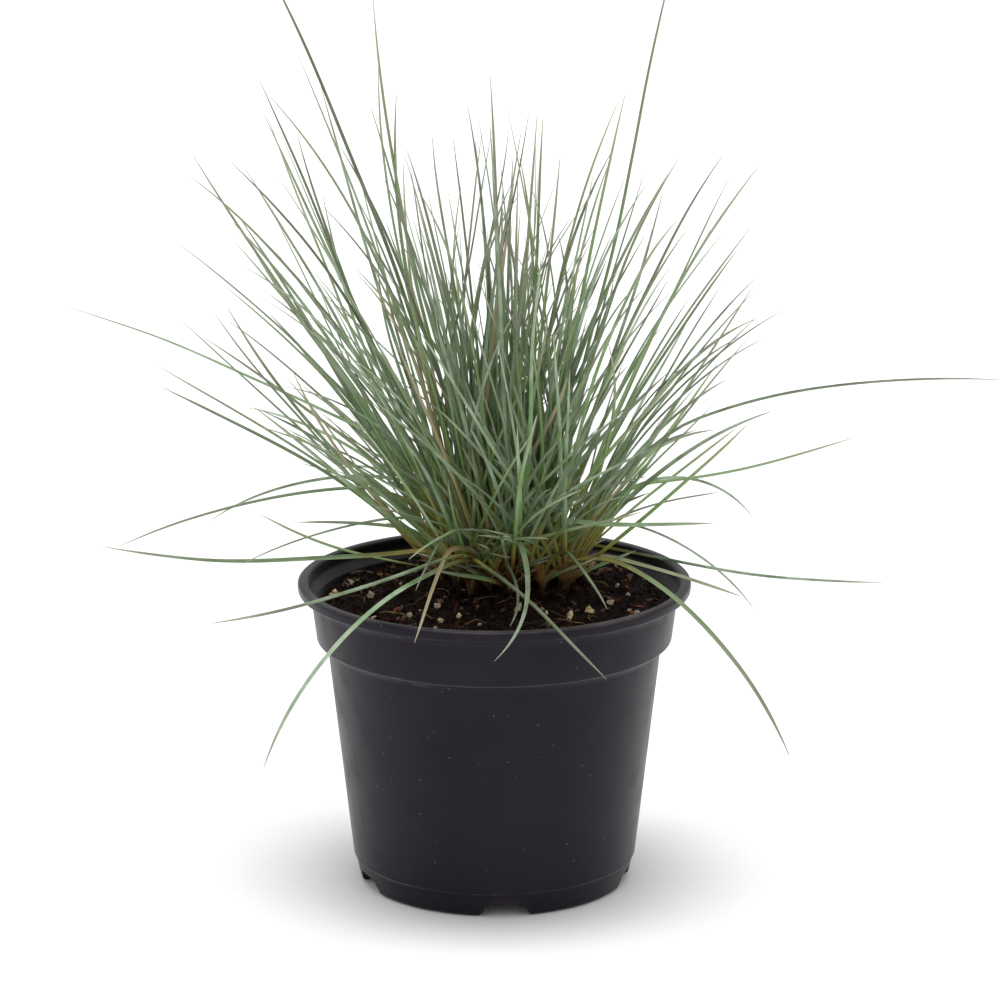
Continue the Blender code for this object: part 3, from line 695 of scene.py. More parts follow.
def fill_blade(spot, chance):
    """A blade of the dense middle of the clump, leaning the way its tiller lies."""
    off = (spot - CROWN_CENTRE) / CROWN_RADII
    reach = math.hypot(*off)
    bearing = math.atan2(off[1], off[0]) + math.radians(chance.gauss(0, FILL_BEARING_SPREAD))
    outward = FILL_MIDDLE_LEAN + FILL_OUTER_LEAN * reach + chance.gauss(0, FILL_LEAN_SPREAD)
    lean = math.radians(max(FILL_LEAST_LEAN, outward))
    length = chance.uniform(*FILL_LENGTHS)
    flat = length * math.sin(lean)
    tip = (min(FILL_REACH_RIGHT, spot[0] + flat * math.cos(bearing)),
           min(FILL_REACH_BACK, spot[1] + flat * math.sin(bearing)),
           SOIL_CROWN_LEVEL + length * math.cos(lean))
    return blade(tip, chance.uniform(*FILL_RISES), chance.uniform(*FILL_BOWS))


def grow_clump(spots):
    """All the main blades: those that stand clear, then those of the dense middle."""
    grown = []
    for leaf in SHOWN_BLADES:
        grow(leaf, spots, grown)
    chance = random.Random(SEED)
    bare = [t for t in range(TILLER_COUNT) if all(g["tiller"] != t for g in grown)]
    filled = 0
    for tiller in TRIES_EACH * bare + TRIES_EACH * list(range(TILLER_COUNT)):
        if filled < FILL_BLADES:
            filled += grow(fill_blade(spots[tiller], chance), spots, grown)
    return grown


# Growth of the fine blades between the main ones

def on_tiller(tiller, leaf, swing=0.0):
    return {"tiller": int(tiller), "leaf": leaf, "swing": swing}


def within_reach(tip):
    """A tip brought in to where the main blades reach on that side."""
    return np.array([np.clip(tip[0], -FINE_LEFT_REACH, FINE_RIGHT_REACH),
                     np.clip(tip[1], -FINE_DEPTH_REACH, FINE_DEPTH_REACH), tip[2]])


def dryness(chance):
    """Most fine blades are fresh, some are a little dry, and a few are dead."""
    if chance.random() < DEAD_SHARE:
        return chance.uniform(*DEAD_DRYNESS)
    return max(0.0, chance.gauss(*FRESH_DRYNESS))


def companion(parent, spots, chance):
    """A finer and shorter blade that leans nearly the way a main one does, from a tiller near it."""
    leaf = parent["leaf"]
    foot = np.array([*CROWN_CENTRE, SOIL_CROWN_LEVEL])
    tip = foot + chance.uniform(*COMPANION_SHARES) * (leaf["tip"] - foot)
    tip = swung(tip, parent["swing"] + chance.gauss(0, COMPANION_SWING))
    near = np.argsort(np.hypot(*(spots - spots[parent["tiller"]]).T))
    tiller = near[chance.randrange(NEIGHBOURS)]
    rise = leaf["rise"] + chance.uniform(*COMPANION_RISES)
    bow = leaf["bow"] + chance.uniform(*COMPANION_BOWS)
    return on_tiller(tiller, blade(within_reach(tip), rise, bow, chance.uniform(*FINE_WIDTHS),
                                   dry=dryness(chance)))


def leaning(root, lean, bearing, length):
    """The tip of a straight blade of a given lean, bearing and length, all angles in degrees."""
    flat = length * math.sin(math.radians(lean))
    return np.array([root[0] + flat * math.cos(math.radians(bearing)),
                     root[1] + flat * math.sin(math.radians(bearing)),
                     SOIL_CROWN_LEVEL + length * math.cos(math.radians(lean))])


def crossing_blade(chance):
    """A fine blade whose tip is anywhere in the clump, and its foot on any tiller."""
    bearing = chance.uniform(-180, 180)
    lean = chance.uniform(*CROSSING_LEANS)
    length = chance.uniform(*CROSSING_LENGTHS) * (1.0 - CROSSING_SHORTENING * lean / CROSSING_LEANS[1])
    lean *= 1.0 - THINNER_RIGHT * max(0.0, math.cos(math.radians(bearing)))
    tip = within_reach(leaning(CROWN_CENTRE, lean, bearing, length))
    tiller = chance.randrange(TILLER_COUNT)
    return on_tiller(tiller, blade(tip, chance.uniform(*CROSSING_RISES), chance.uniform(*CROSSING_BOWS),
                                   chance.uniform(*FINE_WIDTHS), turn=chance.gauss(0, CROSSING_TURN),
                                   dry=dryness(chance)))


def tangle_blade(spots, chance):
    """A short blade that lies low across the front of the crown."""
    tiller = chance.choice([index for index, spot in enumerate(spots) if spot[1] < TANGLE_ROW])
    tip = leaning(spots[tiller], chance.uniform(*TANGLE_LEANS),
                  chance.gauss(TANGLE_BEARING, TANGLE_SPREAD), chance.uniform(*TANGLE_LENGTHS))
    return on_tiller(tiller, blade(tip, chance.uniform(*TANGLE_RISES), chance.uniform(*TANGLE_BOWS),
                                   chance.uniform(*TANGLE_WIDTHS), turn=chance.gauss(0, TANGLE_TURN),
                                   dry=dryness(chance)))


def fine_blades(grown, spots, chance):
    """All the fine blades; the low, the kneed and the longest main ones have none beside them."""
    low, high = COMPANION_LEVELS
    parents = [g for g in grown if g["leaf"]["knee"] is None and low < g["leaf"]["tip"][2] < high]
    parents += [g for g in parents if g["leaf"]["tip"][0] < COMPANIONS_LEFT]
    fine = [companion(parents[index % len(parents)], spots, chance) for index in range(COMPANIONS)]
    fine += [on_tiller(tillers_by_fit(leaf, spots)[0], leaf) for leaf in FRONT_CROSSING]
    fine += [crossing_blade(chance) for _ in range(CROSSING_BLADES)]
    return fine + [tangle_blade(spots, chance) for _ in range(TANGLE_BLADES)]


# Objects and meshes

def new_object(name, data):
    thing = bpy.data.objects.new(name, data)
    bpy.context.scene.collection.objects.link(thing)
    return thing


def placed(name, mesh, slot, *nodes):
    """A piece of the object: it rides on the one body, and stands for CAD nodes."""
    piece = new_object(name, mesh)
    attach(piece, "root")
    if nodes:
        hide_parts(*nodes)


def scaled(points):
    """Millimetre points in metres."""
    return [tuple(value * MM for value in point) for point in points]


def sketched(sketch, name):
    """The mesh of a sketch, which is then closed."""
    mesh = bpy.data.meshes.new(name)
    sketch.to_mesh(mesh)
    sketch.free()
    return mesh


def covered(mesh, material, sharp=None):
    """A mesh in one material, smooth but for the edges sharper than some degrees."""
    mesh.materials.clear()
    mesh.materials.append(material)
    mesh.shade_smooth()
    if sharp is not None:
        mesh.set_sharp_from_angle(angle=math.radians(sharp))
    return mesh


class Pile:
    """Many small shapes gathered into one mesh, with named values at their points."""

    def __init__(self):
        self.points = []
        self.faces = []
        self.values = {}
        self.count = 0

    def add(self, points, faces, **values):
        self.points.append(points)
        self.faces.extend((np.asarray(faces) + self.count).tolist())
        for name, value in values.items():
            self.values.setdefault(name, []).append(np.broadcast_to(value, len(points)))
        self.count += len(points)

    def mesh(self, name, material, sharp=None):
        mesh = bpy.data.meshes.new(name)
        mesh.from_pydata(np.concatenate(self.points) * MM, [], self.faces)
        covered(mesh, material, sharp)
        for label, parts in self.values.items():
            layer = mesh.attributes.new(label, "FLOAT", "POINT")
            layer.data.foreach_set("value", np.concatenate(parts).astype(np.float32))
        return mesh


def rounded(corners):
    """An outline through corners of (radius, height, rounding), with an arc at each rounded one."""
    outline = []
    for index, (radius, height, rounding) in enumerate(corners):
        here = Vector((radius, height))
        if rounding == 0.0:
            outline.append(here)
            continue
        before = Vector(corners[index - 1][:2]) - here
        after = Vector(corners[index + 1][:2]) - here
        reach = min(rounding, before.length * ARC_SHARE, after.length * ARC_SHARE)
        start, end = here + before.normalized() * reach, here + after.normalized() * reach
        for step in range(ARC_STEPS + 1):
            t = step / ARC_STEPS
            outline.append((1 - t) ** 2 * start + 2 * t * (1 - t) * here + t * t * end)
    return outline


def turned(name, outline, steps):
    """An outline of radius and height, turned round the pot's axis with a Screw modifier."""
    mesh = bpy.data.meshes.new(name)
    mesh.from_pydata(scaled((radius, 0.0, height) for radius, height in outline),
                     [(i, i + 1) for i in range(len(outline) - 1)], [])
    thing = new_object(name, mesh)
    screw = thing.modifiers.new("turn", "SCREW")
    screw.steps = steps
    screw.render_steps = steps
    screw.use_merge_vertices = True
    screw.merge_threshold = MERGE_DISTANCE
    return thing


def finished_mesh(thing, name):
    """The evaluated mesh of an object, which is then removed."""
    bpy.context.view_layer.update()
    mesh = bpy.data.meshes.new_from_object(thing.evaluated_get(bpy.context.evaluated_depsgraph_get()))
    bpy.data.objects.remove(thing)
    mesh.name = name
    return mesh


# Pot

def pot_outline():
    """From the middle of the floor up the inside, over the rolled lip, and down to the foot."""
    return rounded([
        (0.0, FLOOR_TOP, 0.0),
        (FOOT_LINE_RADIUS - WALL - 0.5, FLOOR_TOP, 0.8),
        (WALL_TOP_RADIUS - WALL, WALL_TOP_LEVEL + 0.4, 0.8),
        (BAND_FOOT_RADIUS - WALL - 0.1, BAND_FOOT_LEVEL + 0.8, 0.6),
        (RIDGE_RADIUS - WALL - RIDGE_STEP, RIDGE_LEVEL - 0.2, 0.3),
        (LIP_INNER_RADIUS, RIDGE_LEVEL + 2.0, 0.6),
        (LIP_INNER_RADIUS, LIP_CREST, 0.9),
        (LIP_RADIUS, LIP_CREST + 0.05, 1.1),
        (LIP_RADIUS - 0.2, LIP_LEVEL - 1.9, 0.7),
        (RIDGE_RADIUS + 1.4, LIP_LEVEL - 2.2, 0.8),
        (RIDGE_RADIUS + 0.5, RIDGE_LEVEL + 1.2, 0.5),
        (RIDGE_RADIUS + 0.15, RIDGE_LEVEL + 0.35, 0.25),
        (RIDGE_RADIUS, RIDGE_LEVEL - 0.3, 0.3),
        (BAND_FOOT_RADIUS, BAND_FOOT_LEVEL - 0.6, 0.5),
        (WALL_TOP_RADIUS + 0.7, WALL_TOP_LEVEL + 0.5, 0.7),
        (WALL_TOP_RADIUS - 0.05, WALL_TOP_LEVEL - 0.5, 0.8),
        (FOOT_LINE_RADIUS, FOOT_LINE_LEVEL, 0.4),
        (FOOT_LINE_RADIUS - 0.5, FOOT_LINE_LEVEL - 0.5, 0.3),
        (FOOT_RADIUS + 0.9, 0.6, 0.7),
        (FOOT_RADIUS, 0.0, 0.2),
        (FOOT_INNER_RADIUS, 0.0, 0.3),
        (FOOT_INNER_RADIUS - 0.2, FLOOR_UNDERSIDE, 0.6),
        (0.0, FLOOR_UNDERSIDE, 0.0),
    ])


def notch_cutter(name):
    """A wedge-shaped bar through the foot ring, wider at the standing level."""
    depth_in = FOOT_INNER_RADIUS - CUTTER_OVERLAP
    depth_out = FOOT_LINE_RADIUS + CUTTER_OVERLAP
    bottom, top = NOTCH_BOTTOM_WIDTH / 2, NOTCH_TOP_WIDTH / 2
    half = [(bottom, -CUTTER_OVERLAP), (bottom, 0.0),
            (top + NOTCH_CORNER / 2, NOTCH_HEIGHT - NOTCH_CORNER),
            (top, NOTCH_HEIGHT - NOTCH_CORNER / 4), (top - NOTCH_CORNER, NOTCH_HEIGHT)]
    outline = half + [(-across, up) for across, up in reversed(half)]
    sketch = bmesh.new()
    face = sketch.faces.new([sketch.verts.new(p) for p in
                             scaled((depth_in, across, up) for across, up in outline)])
    grown = bmesh.ops.extrude_face_region(sketch, geom=[face])
    moved = [part for part in grown["geom"] if isinstance(part, bmesh.types.BMVert)]
    bmesh.ops.translate(sketch, verts=moved, vec=((depth_out - depth_in) * MM, 0.0, 0.0))
    bmesh.ops.recalc_face_normals(sketch, faces=sketch.faces)
    return new_object(name, sketched(sketch, name))


def drain_cutter(name):
    """A round bar through the pot's floor."""
    sketch = bmesh.new()
    bmesh.ops.create_cone(sketch, cap_ends=True, segments=DRAIN_SIDES, radius1=DRAIN_RADIUS * MM,
                          radius2=DRAIN_RADIUS * MM, depth=2 * CUTTER_OVERLAP * MM)
    bmesh.ops.translate(sketch, verts=sketch.verts,
                        vec=(DRAIN_PITCH_RADIUS * MM, 0.0, FLOOR_TOP * MM))
    return new_object(name, sketched(sketch, name))


def make_pot(material):
    body = turned("pot_blank", pot_outline(), POT_STEPS)
    cutters = []
    for index in range(NOTCH_COUNT):
        bearing = math.radians(NOTCH_BEARING + index * 360.0 / NOTCH_COUNT)
        for cutter in (notch_cutter("notch_cutter_%d" % index), drain_cutter("drain_cutter_%d" % index)):
            cutter.rotation_euler.z = bearing
            cut = body.modifiers.new(cutter.name, "BOOLEAN")
            cut.operation = "DIFFERENCE"
            cut.object = cutter
            cutters.append(cutter)
    mesh = finished_mesh(body, "nursery_pot")
    for cutter in cutters:
        bpy.data.objects.remove(cutter)
    placed("nursery_pot", covered(mesh, material, SHARP_POT), "black_plastic", "pot")


# Soil, and what lies loose on it

def soil_level(x, y):
    """Level of the loose surface: flat at the crown, falling to the wall, with lumps and hollows."""
    away = math.hypot(x - CROWN_CENTRE[0], y - CROWN_CENTRE[1])
    outward = max(0.0, away - CROWN_FLAT_RADIUS)
    place = Vector((x, y, SWELL_LEVEL))
    swell = sum(height * noise.noise(place * waves) for height, waves in SOIL_SWELLS)
    looseness = min(1.0, CALM_SHARE + outward / CALM_REACH)
    return SOIL_CROWN_LEVEL - SOIL_SINK - SOIL_FALL * outward + looseness * swell


def make_soil(material):
    wall_top = WALL_TOP_RADIUS - WALL - SOIL_WALL_GAP
    band = BAND_FOOT_RADIUS - WALL - SOIL_WALL_GAP
    edge = RIDGE_RADIUS - WALL - RIDGE_STEP - SOIL_WALL_GAP
    top = [(edge * ring / SOIL_RINGS, SOIL_CROWN_LEVEL) for ring in range(SOIL_RINGS + 1)]
    sides = [
        (edge - 0.3, RIDGE_LEVEL - 4.2),
        (band - 0.2, BAND_FOOT_LEVEL + 1.6),
        (wall_top - 0.2, WALL_TOP_LEVEL - 0.2),
        (FOOT_LINE_RADIUS - WALL - 2.4, FLOOR_TOP + GAP),
        (0.0, FLOOR_TOP + GAP),
    ]
    mesh = finished_mesh(turned("soil_blank", top + sides, SOIL_STEPS), "compost")
    for vertex in mesh.vertices:
        if vertex.co.z > (SOIL_CROWN_LEVEL - SOIL_SURFACE_DEPTH) * MM:
            vertex.co.z = soil_level(vertex.co.x / MM, vertex.co.y / MM) * MM
    placed("compost", covered(mesh, material), "potting_soil", "potting_soil")


def pattern_start(chance, spread):
    """A place for a noise pattern to start from."""
    return Vector([chance.uniform(-spread, spread) for _ in range(3)])


def lump_template(fineness):
    """Points and faces of a ball that lumps are made from."""
    ball = bmesh.new()
    bmesh.ops.create_icosphere(ball, subdivisions=fineness, radius=1.0)
    points = np.array([v.co for v in ball.verts])
    faces = np.array([[v.index for v in f.verts] for f in ball.faces])
    ball.free()
    return points, faces


def lump(template, size, stretch, roughness, chance):
    """A pebble-like lump: a ball pushed in and out, stretched, and turned any way."""
    points = template[0].copy()
    start = pattern_start(chance, LUMP_PATTERN_SPREAD)
    push = np.array([noise.noise(Vector(p) * LUMP_WAVES + start) for p in points])
    points *= (1.0 + roughness * push)[:, None] * np.array(stretch) * size
    turn = np.array(Euler([chance.uniform(0, 2 * math.pi) for _ in range(3)]).to_matrix())
    return points @ turn.T


def soil_spot(chance, inner=0.0):
    """A place on the soil, evenly spread between the crown and the wall."""
    edge = RIDGE_RADIUS - WALL - SPOT_MARGIN
    while True:
        reach = edge * math.sqrt(chance.random())
        bearing = chance.uniform(0, 2 * math.pi)
        x, y = reach * math.cos(bearing), reach * math.sin(bearing)
        if math.hypot(x - CROWN_CENTRE[0], y - CROWN_CENTRE[1]) >= inner:
            return x, y


def crown_spot(chance):
    """A place in the crown, among the tillers' feet."""
    reach = CROWN_CRUMB_REACH * math.sqrt(chance.random())
    bearing = chance.uniform(0, 2 * math.pi)
    return (CROWN_CENTRE[0] + CROWN_RADII[0] * reach * math.cos(bearing),
            CROWN_CENTRE[1] + CROWN_RADII[1] * reach * math.sin(bearing))


def scattered(shown, count, inner, sizes, chance):
    """The grains that show plainly, and others anywhere outside a part of the crown."""
    return [*shown, *((*soil_spot(chance, inner), chance.uniform(*sizes)) for _ in range(count))]


def make_crumbs(material):
    """Peat crumbs scattered over the soil, and coarser ones among the tillers' feet."""
    chance = random.Random(SEED + 1)
    pile = Pile()
    for count, fineness, sizes, lift, in_crown in CRUMBS:
        template = lump_template(fineness)
        for _ in range(count):
            x, y = crown_spot(chance) if in_crown else soil_spot(chance)
            size = chance.uniform(*sizes) * chance.uniform(*CRUMB_SHARES)
            stretch = (1.0, chance.uniform(*CRUMB_SHARES), chance.uniform(*CRUMB_THICKNESSES))
            points = lump(template, size, stretch, CRUMB_ROUGHNESS, chance)
            points += (x, y, soil_level(x, y) + size * lift)
            pile.add(points, template[1], tint=chance.random())
    placed("peat_crumbs", pile.mesh("peat_crumbs", material, SHARP_CRUMB), "potting_soil")


def make_perlite(material):
    chance = random.Random(SEED + 2)
    template = lump_template(PERLITE_FINENESS)
    pile = Pile()
    for x, y, size in scattered(PERLITE_SHOWN, PERLITE_SCATTERED, PERLITE_INNER_REACH,
                                PERLITE_SIZES, chance):
        stretch = (1.0, chance.uniform(*PERLITE_BREADTHS), chance.uniform(*PERLITE_THICKNESSES))
        points = lump(template, size, stretch, PERLITE_ROUGHNESS, chance)
        points += (x, y, soil_level(x, y) + size * chance.uniform(*PERLITE_LIFTS))
        pile.add(points, template[1], tint=chance.random())
    placed("perlite", pile.mesh("perlite", material, SHARP_PERLITE), "potting_soil")


def make_chips(material):
    chance = random.Random(SEED + 3)
    template = lump_template(CHIP_FINENESS)
    pile = Pile()
    for x, y, length in scattered(CHIPS_SHOWN, CHIPS_SCATTERED, CHIP_INNER_REACH,
                                  CHIP_LENGTHS, chance):
        points = lump(template, length, CHIP_STRETCH, CHIP_ROUGHNESS, chance)
        points[:, 2] *= CHIP_FLATTENING
        points += (x, y, soil_level(x, y) + length * CHIP_LIFT)
        pile.add(points, template[1], tint=chance.random())
    placed("bark_chips", pile.mesh("bark_chips", material, SHARP_CHIP), "potting_soil")


def unit(vectors):
    """Each of some vectors made one long."""
    return vectors / np.linalg.norm(vectors, axis=1)[:, None]


def band_faces(rings, sides):
    """Quads between rings of points, with the two ends closed."""
    faces = []
    for ring in range(rings - 1):
        for side in range(sides):
            following = (side + 1) % sides
            low, high = ring * sides, (ring + 1) * sides
            faces.append((low + side, low + following, high + following, high + side))
    last = (rings - 1) * sides
    for a, b, c, d in END_QUADS[sides]:
        faces.append((d, c, b, a))
        faces.append((last + a, last + b, last + c, last + d))
    return np.array(faces)


def add_tube(pile, line, radii, sides, **values):
    """A round thread along a line, closed at both ends."""
    tangents = unit(np.gradient(line, axis=0))
    across = unit(np.cross(tangents, NEVER_ALONG))
    over = np.cross(tangents, across)
    angles = np.arange(sides)[None, :, None] * 2 * math.pi / sides
    ring = np.cos(angles) * across[:, None] + np.sin(angles) * over[:, None]
    points = (line[:, None] + ring * np.asarray(radii)[:, None, None]).reshape(-1, 3)
    pile.add(points, band_faces(len(line), sides), **values)


def thread_runs(chance):
    """The two ends and the radius of each twig and root thread."""
    runs = [(np.array(a, float), np.array(b, float), TWIG_RADIUS) for a, b in TWIGS_SHOWN]
    for _ in range(THREADS_SCATTERED):
        start = np.array(soil_spot(chance, THREAD_INNER_REACH))
        bearing = chance.uniform(0, 2 * math.pi)
        length = chance.uniform(*THREAD_LENGTHS)
        end = start + length * np.array([math.cos(bearing), math.sin(bearing)])
        if math.hypot(*end) < RIDGE_RADIUS - WALL - THREAD_WALL_MARGIN:
            runs.append((start, end, chance.uniform(*THREAD_RADII)))
    return runs


def make_threads(material):
    """Twigs, root threads and old straws that lie on the soil."""
    chance = random.Random(SEED + 4)
    pile = Pile()
    shares = np.linspace(0.0, 1.0, THREAD_POINTS)
    for start, end, radius in thread_runs(chance):
        side = np.array([start[1] - end[1], end[0] - start[0]])
        side *= chance.uniform(-THREAD_BOW, THREAD_BOW)
        line = []
        for t in shares:
            x, y = (1 - t) * start + t * end + 4 * t * (1 - t) * side
            lift = radius + THREAD_LIFT * (1.0 + math.sin(math.pi * t))
            line.append((x, y, soil_level(x, y) + lift))
        radii = radius * np.interp(shares, *THREAD_TAPER)
        add_tube(pile, np.array(line), radii, THREAD_SIDES, tint=chance.random())
    placed("root_threads", pile.mesh("root_threads", material), "potting_soil")


# Leaf blades, sheaths and husks

def wandering(line, chance):
    """The small sideways wander of a living blade, none at its foot and at its tip."""
    start = pattern_start(chance, WANDER_PATTERN_SPREAD)
    length = np.linalg.norm(line[-1] - line[0])
    s = np.linspace(0.0, 1.0, len(line))
    drift = np.array([noise.noise_vector(start + Vector((0, 0, t * length / WANDER_LENGTH))) for t in s])
    return line + drift * (WANDER * np.sin(np.pi * s))[:, None]


def add_blade(pile, line, width, dry, chance):
    """A folded blade along a line, drawn out to a hair-thin tip."""
    count, sides = len(line), len(BLADE_SECTION)
    tangents = unit(np.gradient(line, axis=0))
    heading = line[-1, :2] - line[0, :2]
    level = np.array([-heading[1], heading[0], 0.0]) / max(1e-6, np.hypot(*heading))
    flat = unit(level - (tangents @ level)[:, None] * tangents)
    up = np.cross(tangents, flat)
    s = np.linspace(0.0, 1.0, count)
    twist = np.radians(chance.gauss(0, TWIST_SPREAD) + chance.gauss(0, TWIST_SPREAD) * s)[:, None]
    across = np.cos(twist) * flat + np.sin(twist) * up
    over = np.cos(twist) * up - np.sin(twist) * flat
    half = width / 2 * np.interp(s, *BLADE_PROFILE)
    ring = (BLADE_SECTION[None, :, 0, None] * across[:, None]
            + BLADE_SECTION[None, :, 1, None] * over[:, None])
    points = (line[:, None] + ring * half[:, None, None]).reshape(-1, 3)
    pile.add(points, band_faces(count, sides), along=np.repeat(s, sides),
             across=np.tile(BLADE_SECTION[:, 0], count), tint=chance.random(), dry=dry)


def add_sheaths(pile, spot, lines, chance):
    """The rolled, brown sheaths at a tiller's foot, leaning the way its blades lean."""
    lean = np.mean([line[3] - line[0] for line in lines], axis=0)
    lean /= np.linalg.norm(lean)
    lean[2] = max(SHEATH_LEAST_RISE, lean[2])
    s = np.linspace(0.0, 1.0, SHEATH_RINGS)
    for _ in range(SHEATH_WRAPS):
        height = SHEATH_HEIGHT * chance.uniform(*SHEATH_STRETCHES)
        off = np.array([chance.gauss(0, SHEATH_SCATTER), chance.gauss(0, SHEATH_SCATTER), 0.0])
        foot = np.array([*spot, SOIL_CROWN_LEVEL - SHEATH_SINK]) + off
        line = foot + s[:, None] * height * lean
        line[:, :2] += (s**2)[:, None] * off[:2] * SHEATH_SPLAY
        radii = chance.uniform(*SHEATH_RADII) * np.interp(s, *SHEATH_TAPER)
        add_tube(pile, line, radii, SHEATH_SIDES, across=0.0,
                 along=SHEATH_SHADE + SHEATH_SHADE_RANGE * chance.random(), tint=chance.random(),
                 dry=max(0.0, chance.gauss(*SHEATH_DRYNESS)))


def add_husk(pile, spot, chance):
    """A short, dry, curled blade from an earlier season, at a tiller's foot."""
    outward = math.atan2(spot[1] - CROWN_CENTRE[1], spot[0] - CROWN_CENTRE[0])
    bearing = outward + chance.gauss(0, HUSK_SCATTER)
    length = chance.uniform(*HUSK_LENGTHS)
    lean = math.radians(chance.uniform(*HUSK_LEANS))
    s = np.linspace(0.0, 1.0, HUSK_RINGS)
    out = length * s * np.sin(lean + s * HUSK_CURL)
    level = SOIL_CROWN_LEVEL + HUSK_LIFT + length * s * np.cos(lean) * (1.0 - HUSK_SAG * s)
    line = np.stack([spot[0] + out * math.cos(bearing), spot[1] + out * math.sin(bearing), level], axis=1)
    add_blade(pile, line, chance.uniform(*HUSK_WIDTHS), chance.uniform(*HUSK_DRYNESS), chance)


def make_grass(material):
    """Each tiller's blades, sheaths and husks, as one piece."""
    spots = tiller_spots()
    grown = grow_clump(spots)
    chance = random.Random(SEED + 5)
    noise.seed_set(SEED)
    blades = grown + fine_blades(grown, spots, chance)
    for tiller, spot in enumerate(spots):
        pile = Pile()
        lines = []
        for entry in [b for b in blades if b["tiller"] == tiller]:
            leaf = entry["leaf"]
            line = wandering(centreline(leaf, spot, entry["swing"], BLADE_RINGS), chance)
            width = float(np.interp(leaf["width"], PLAIN_WIDTHS, FOLDED_WIDTHS))
            add_blade(pile, line, width, leaf["dry"], chance)
            lines.append(line)
        add_sheaths(pile, spot, lines, chance)
        for _ in range(chance.randint(*HUSKS_EACH)):
            add_husk(pile, spot, chance)
        number = "tiller_%02d" % (tiller + 1)
        name = "fescue_" + number
        placed(name, pile.mesh(name, material, SHARP_LEAF), "fescue_leaf", number)


# Shader helpers

def feed(tree, sockets, values):
    """Each value linked, where another node puts it out, or else set."""
    for key, value in values.items():
        if isinstance(value, bpy.types.NodeSocket):
            tree.links.new(value, sockets[key])
        else:
            sockets[key].default_value = value


def add(tree, kind, values=None, **settings):
    """A node with its settings and the values of its inputs."""
    made = tree.nodes.new(kind)
    for name, setting in settings.items():
        setattr(made, name, setting)
    feed(tree, made.inputs, values or {})
    return made


def worked_out(tree, operation, *values):
    """A sum on values, such as ADD or MAXIMUM."""
    return add(tree, "ShaderNodeMath", dict(enumerate(values)), operation=operation).outputs[0]


def times(tree, first, *others):
    for other in others:
        first = worked_out(tree, "MULTIPLY", first, other)
    return first


def plus(tree, first, second):
    return worked_out(tree, "ADD", first, second)


def fraction(tree, value):
    """What is left of a value after its whole number."""
    return worked_out(tree, "FRACT", value)


def mixed(tree, factor, first, second):
    return add(tree, "ShaderNodeMix", {0: factor, 6: first, 7: second}, data_type="RGBA").outputs[2]


def ramped(tree, factor, stops):
    """A colour ramp through stops of (place, colour)."""
    node = add(tree, "ShaderNodeValToRGB", {0: factor})
    elements = node.color_ramp.elements
    while len(elements) < len(stops):
        elements.new(0.5)
    for element, (place, tone) in zip(elements, stops):
        element.position = place
        element.color = tone
    return node.outputs[0]


def eased(tree, value, low, high, to_low=0.0, to_high=1.0):
    """A value between two limits, brought smoothly to lie between two others."""
    values = {0: value, 1: low, 2: high, 3: to_low, 4: to_high}
    return add(tree, "ShaderNodeMapRange", values, interpolation_type="SMOOTHSTEP").outputs[0]


def attribute(tree, name):
    return add(tree, "ShaderNodeAttribute", attribute_name=name).outputs["Fac"]


def object_place(tree):
    return add(tree, "ShaderNodeTexCoord").outputs["Object"]


def part_of(tree, vector, axis):
    return add(tree, "ShaderNodeSeparateXYZ", {0: vector}).outputs[axis]


def clouds(tree, place, scale, detail, roughness=0.5):
    values = {"Vector": place, "Scale": scale, "Detail": detail, "Roughness": roughness}
    return add(tree, "ShaderNodeTexNoise", values).outputs[0]


def bumped(tree, height, strength, distance):
    values = {"Height": height, "Strength": strength, "Distance": distance}
    return add(tree, "ShaderNodeBump", values).outputs[0]


# Effects, as groups that each material places with its own values

FLOAT, COLOUR, VECTOR = "NodeSocketFloat", "NodeSocketColor", "NodeSocketVector"


def new_group(name, inputs, outputs):
    """An empty group with its sockets: inputs as (name, kind, value), outputs as (name, kind)."""
    tree = bpy.data.node_groups.new(name, "ShaderNodeTree")
    for label, kind, value in inputs:
        socket = tree.interface.new_socket(name=label, in_out="INPUT", socket_type=kind)
        socket.default_value = value
    for label, kind in outputs:
        tree.interface.new_socket(name=label, in_out="OUTPUT", socket_type=kind)
    return tree, tree.nodes.new("NodeGroupInput").outputs, tree.nodes.new("NodeGroupOutput").inputs


def mottle_group():
    """Soft blotches of a given size, from 0 to 1."""
    tree, given, result = new_group("mottle", [
        ("Per Metre", FLOAT, 200.0), ("Detail", FLOAT, 4.0), ("Low", FLOAT, 0.35), ("High", FLOAT, 0.65),
    ], [("Value", FLOAT)])
    cloud = clouds(tree, object_place(tree), given["Per Metre"], given["Detail"])
    feed(tree, result, {"Value": eased(tree, cloud, given["Low"], given["High"])})
    return tree


def grain_group():
    """A fine surface grain, as a normal."""
    tree, given, result = new_group("grain", [
        ("Per Metre", FLOAT, 2000.0), ("Strength", FLOAT, 0.3), ("Height", FLOAT, 0.0001),
    ], [("Normal", VECTOR)])
    cloud = clouds(tree, object_place(tree), given["Per Metre"], 5.0, 0.6)
    feed(tree, result, {"Normal": bumped(tree, cloud, given["Strength"], given["Height"])})
    return tree


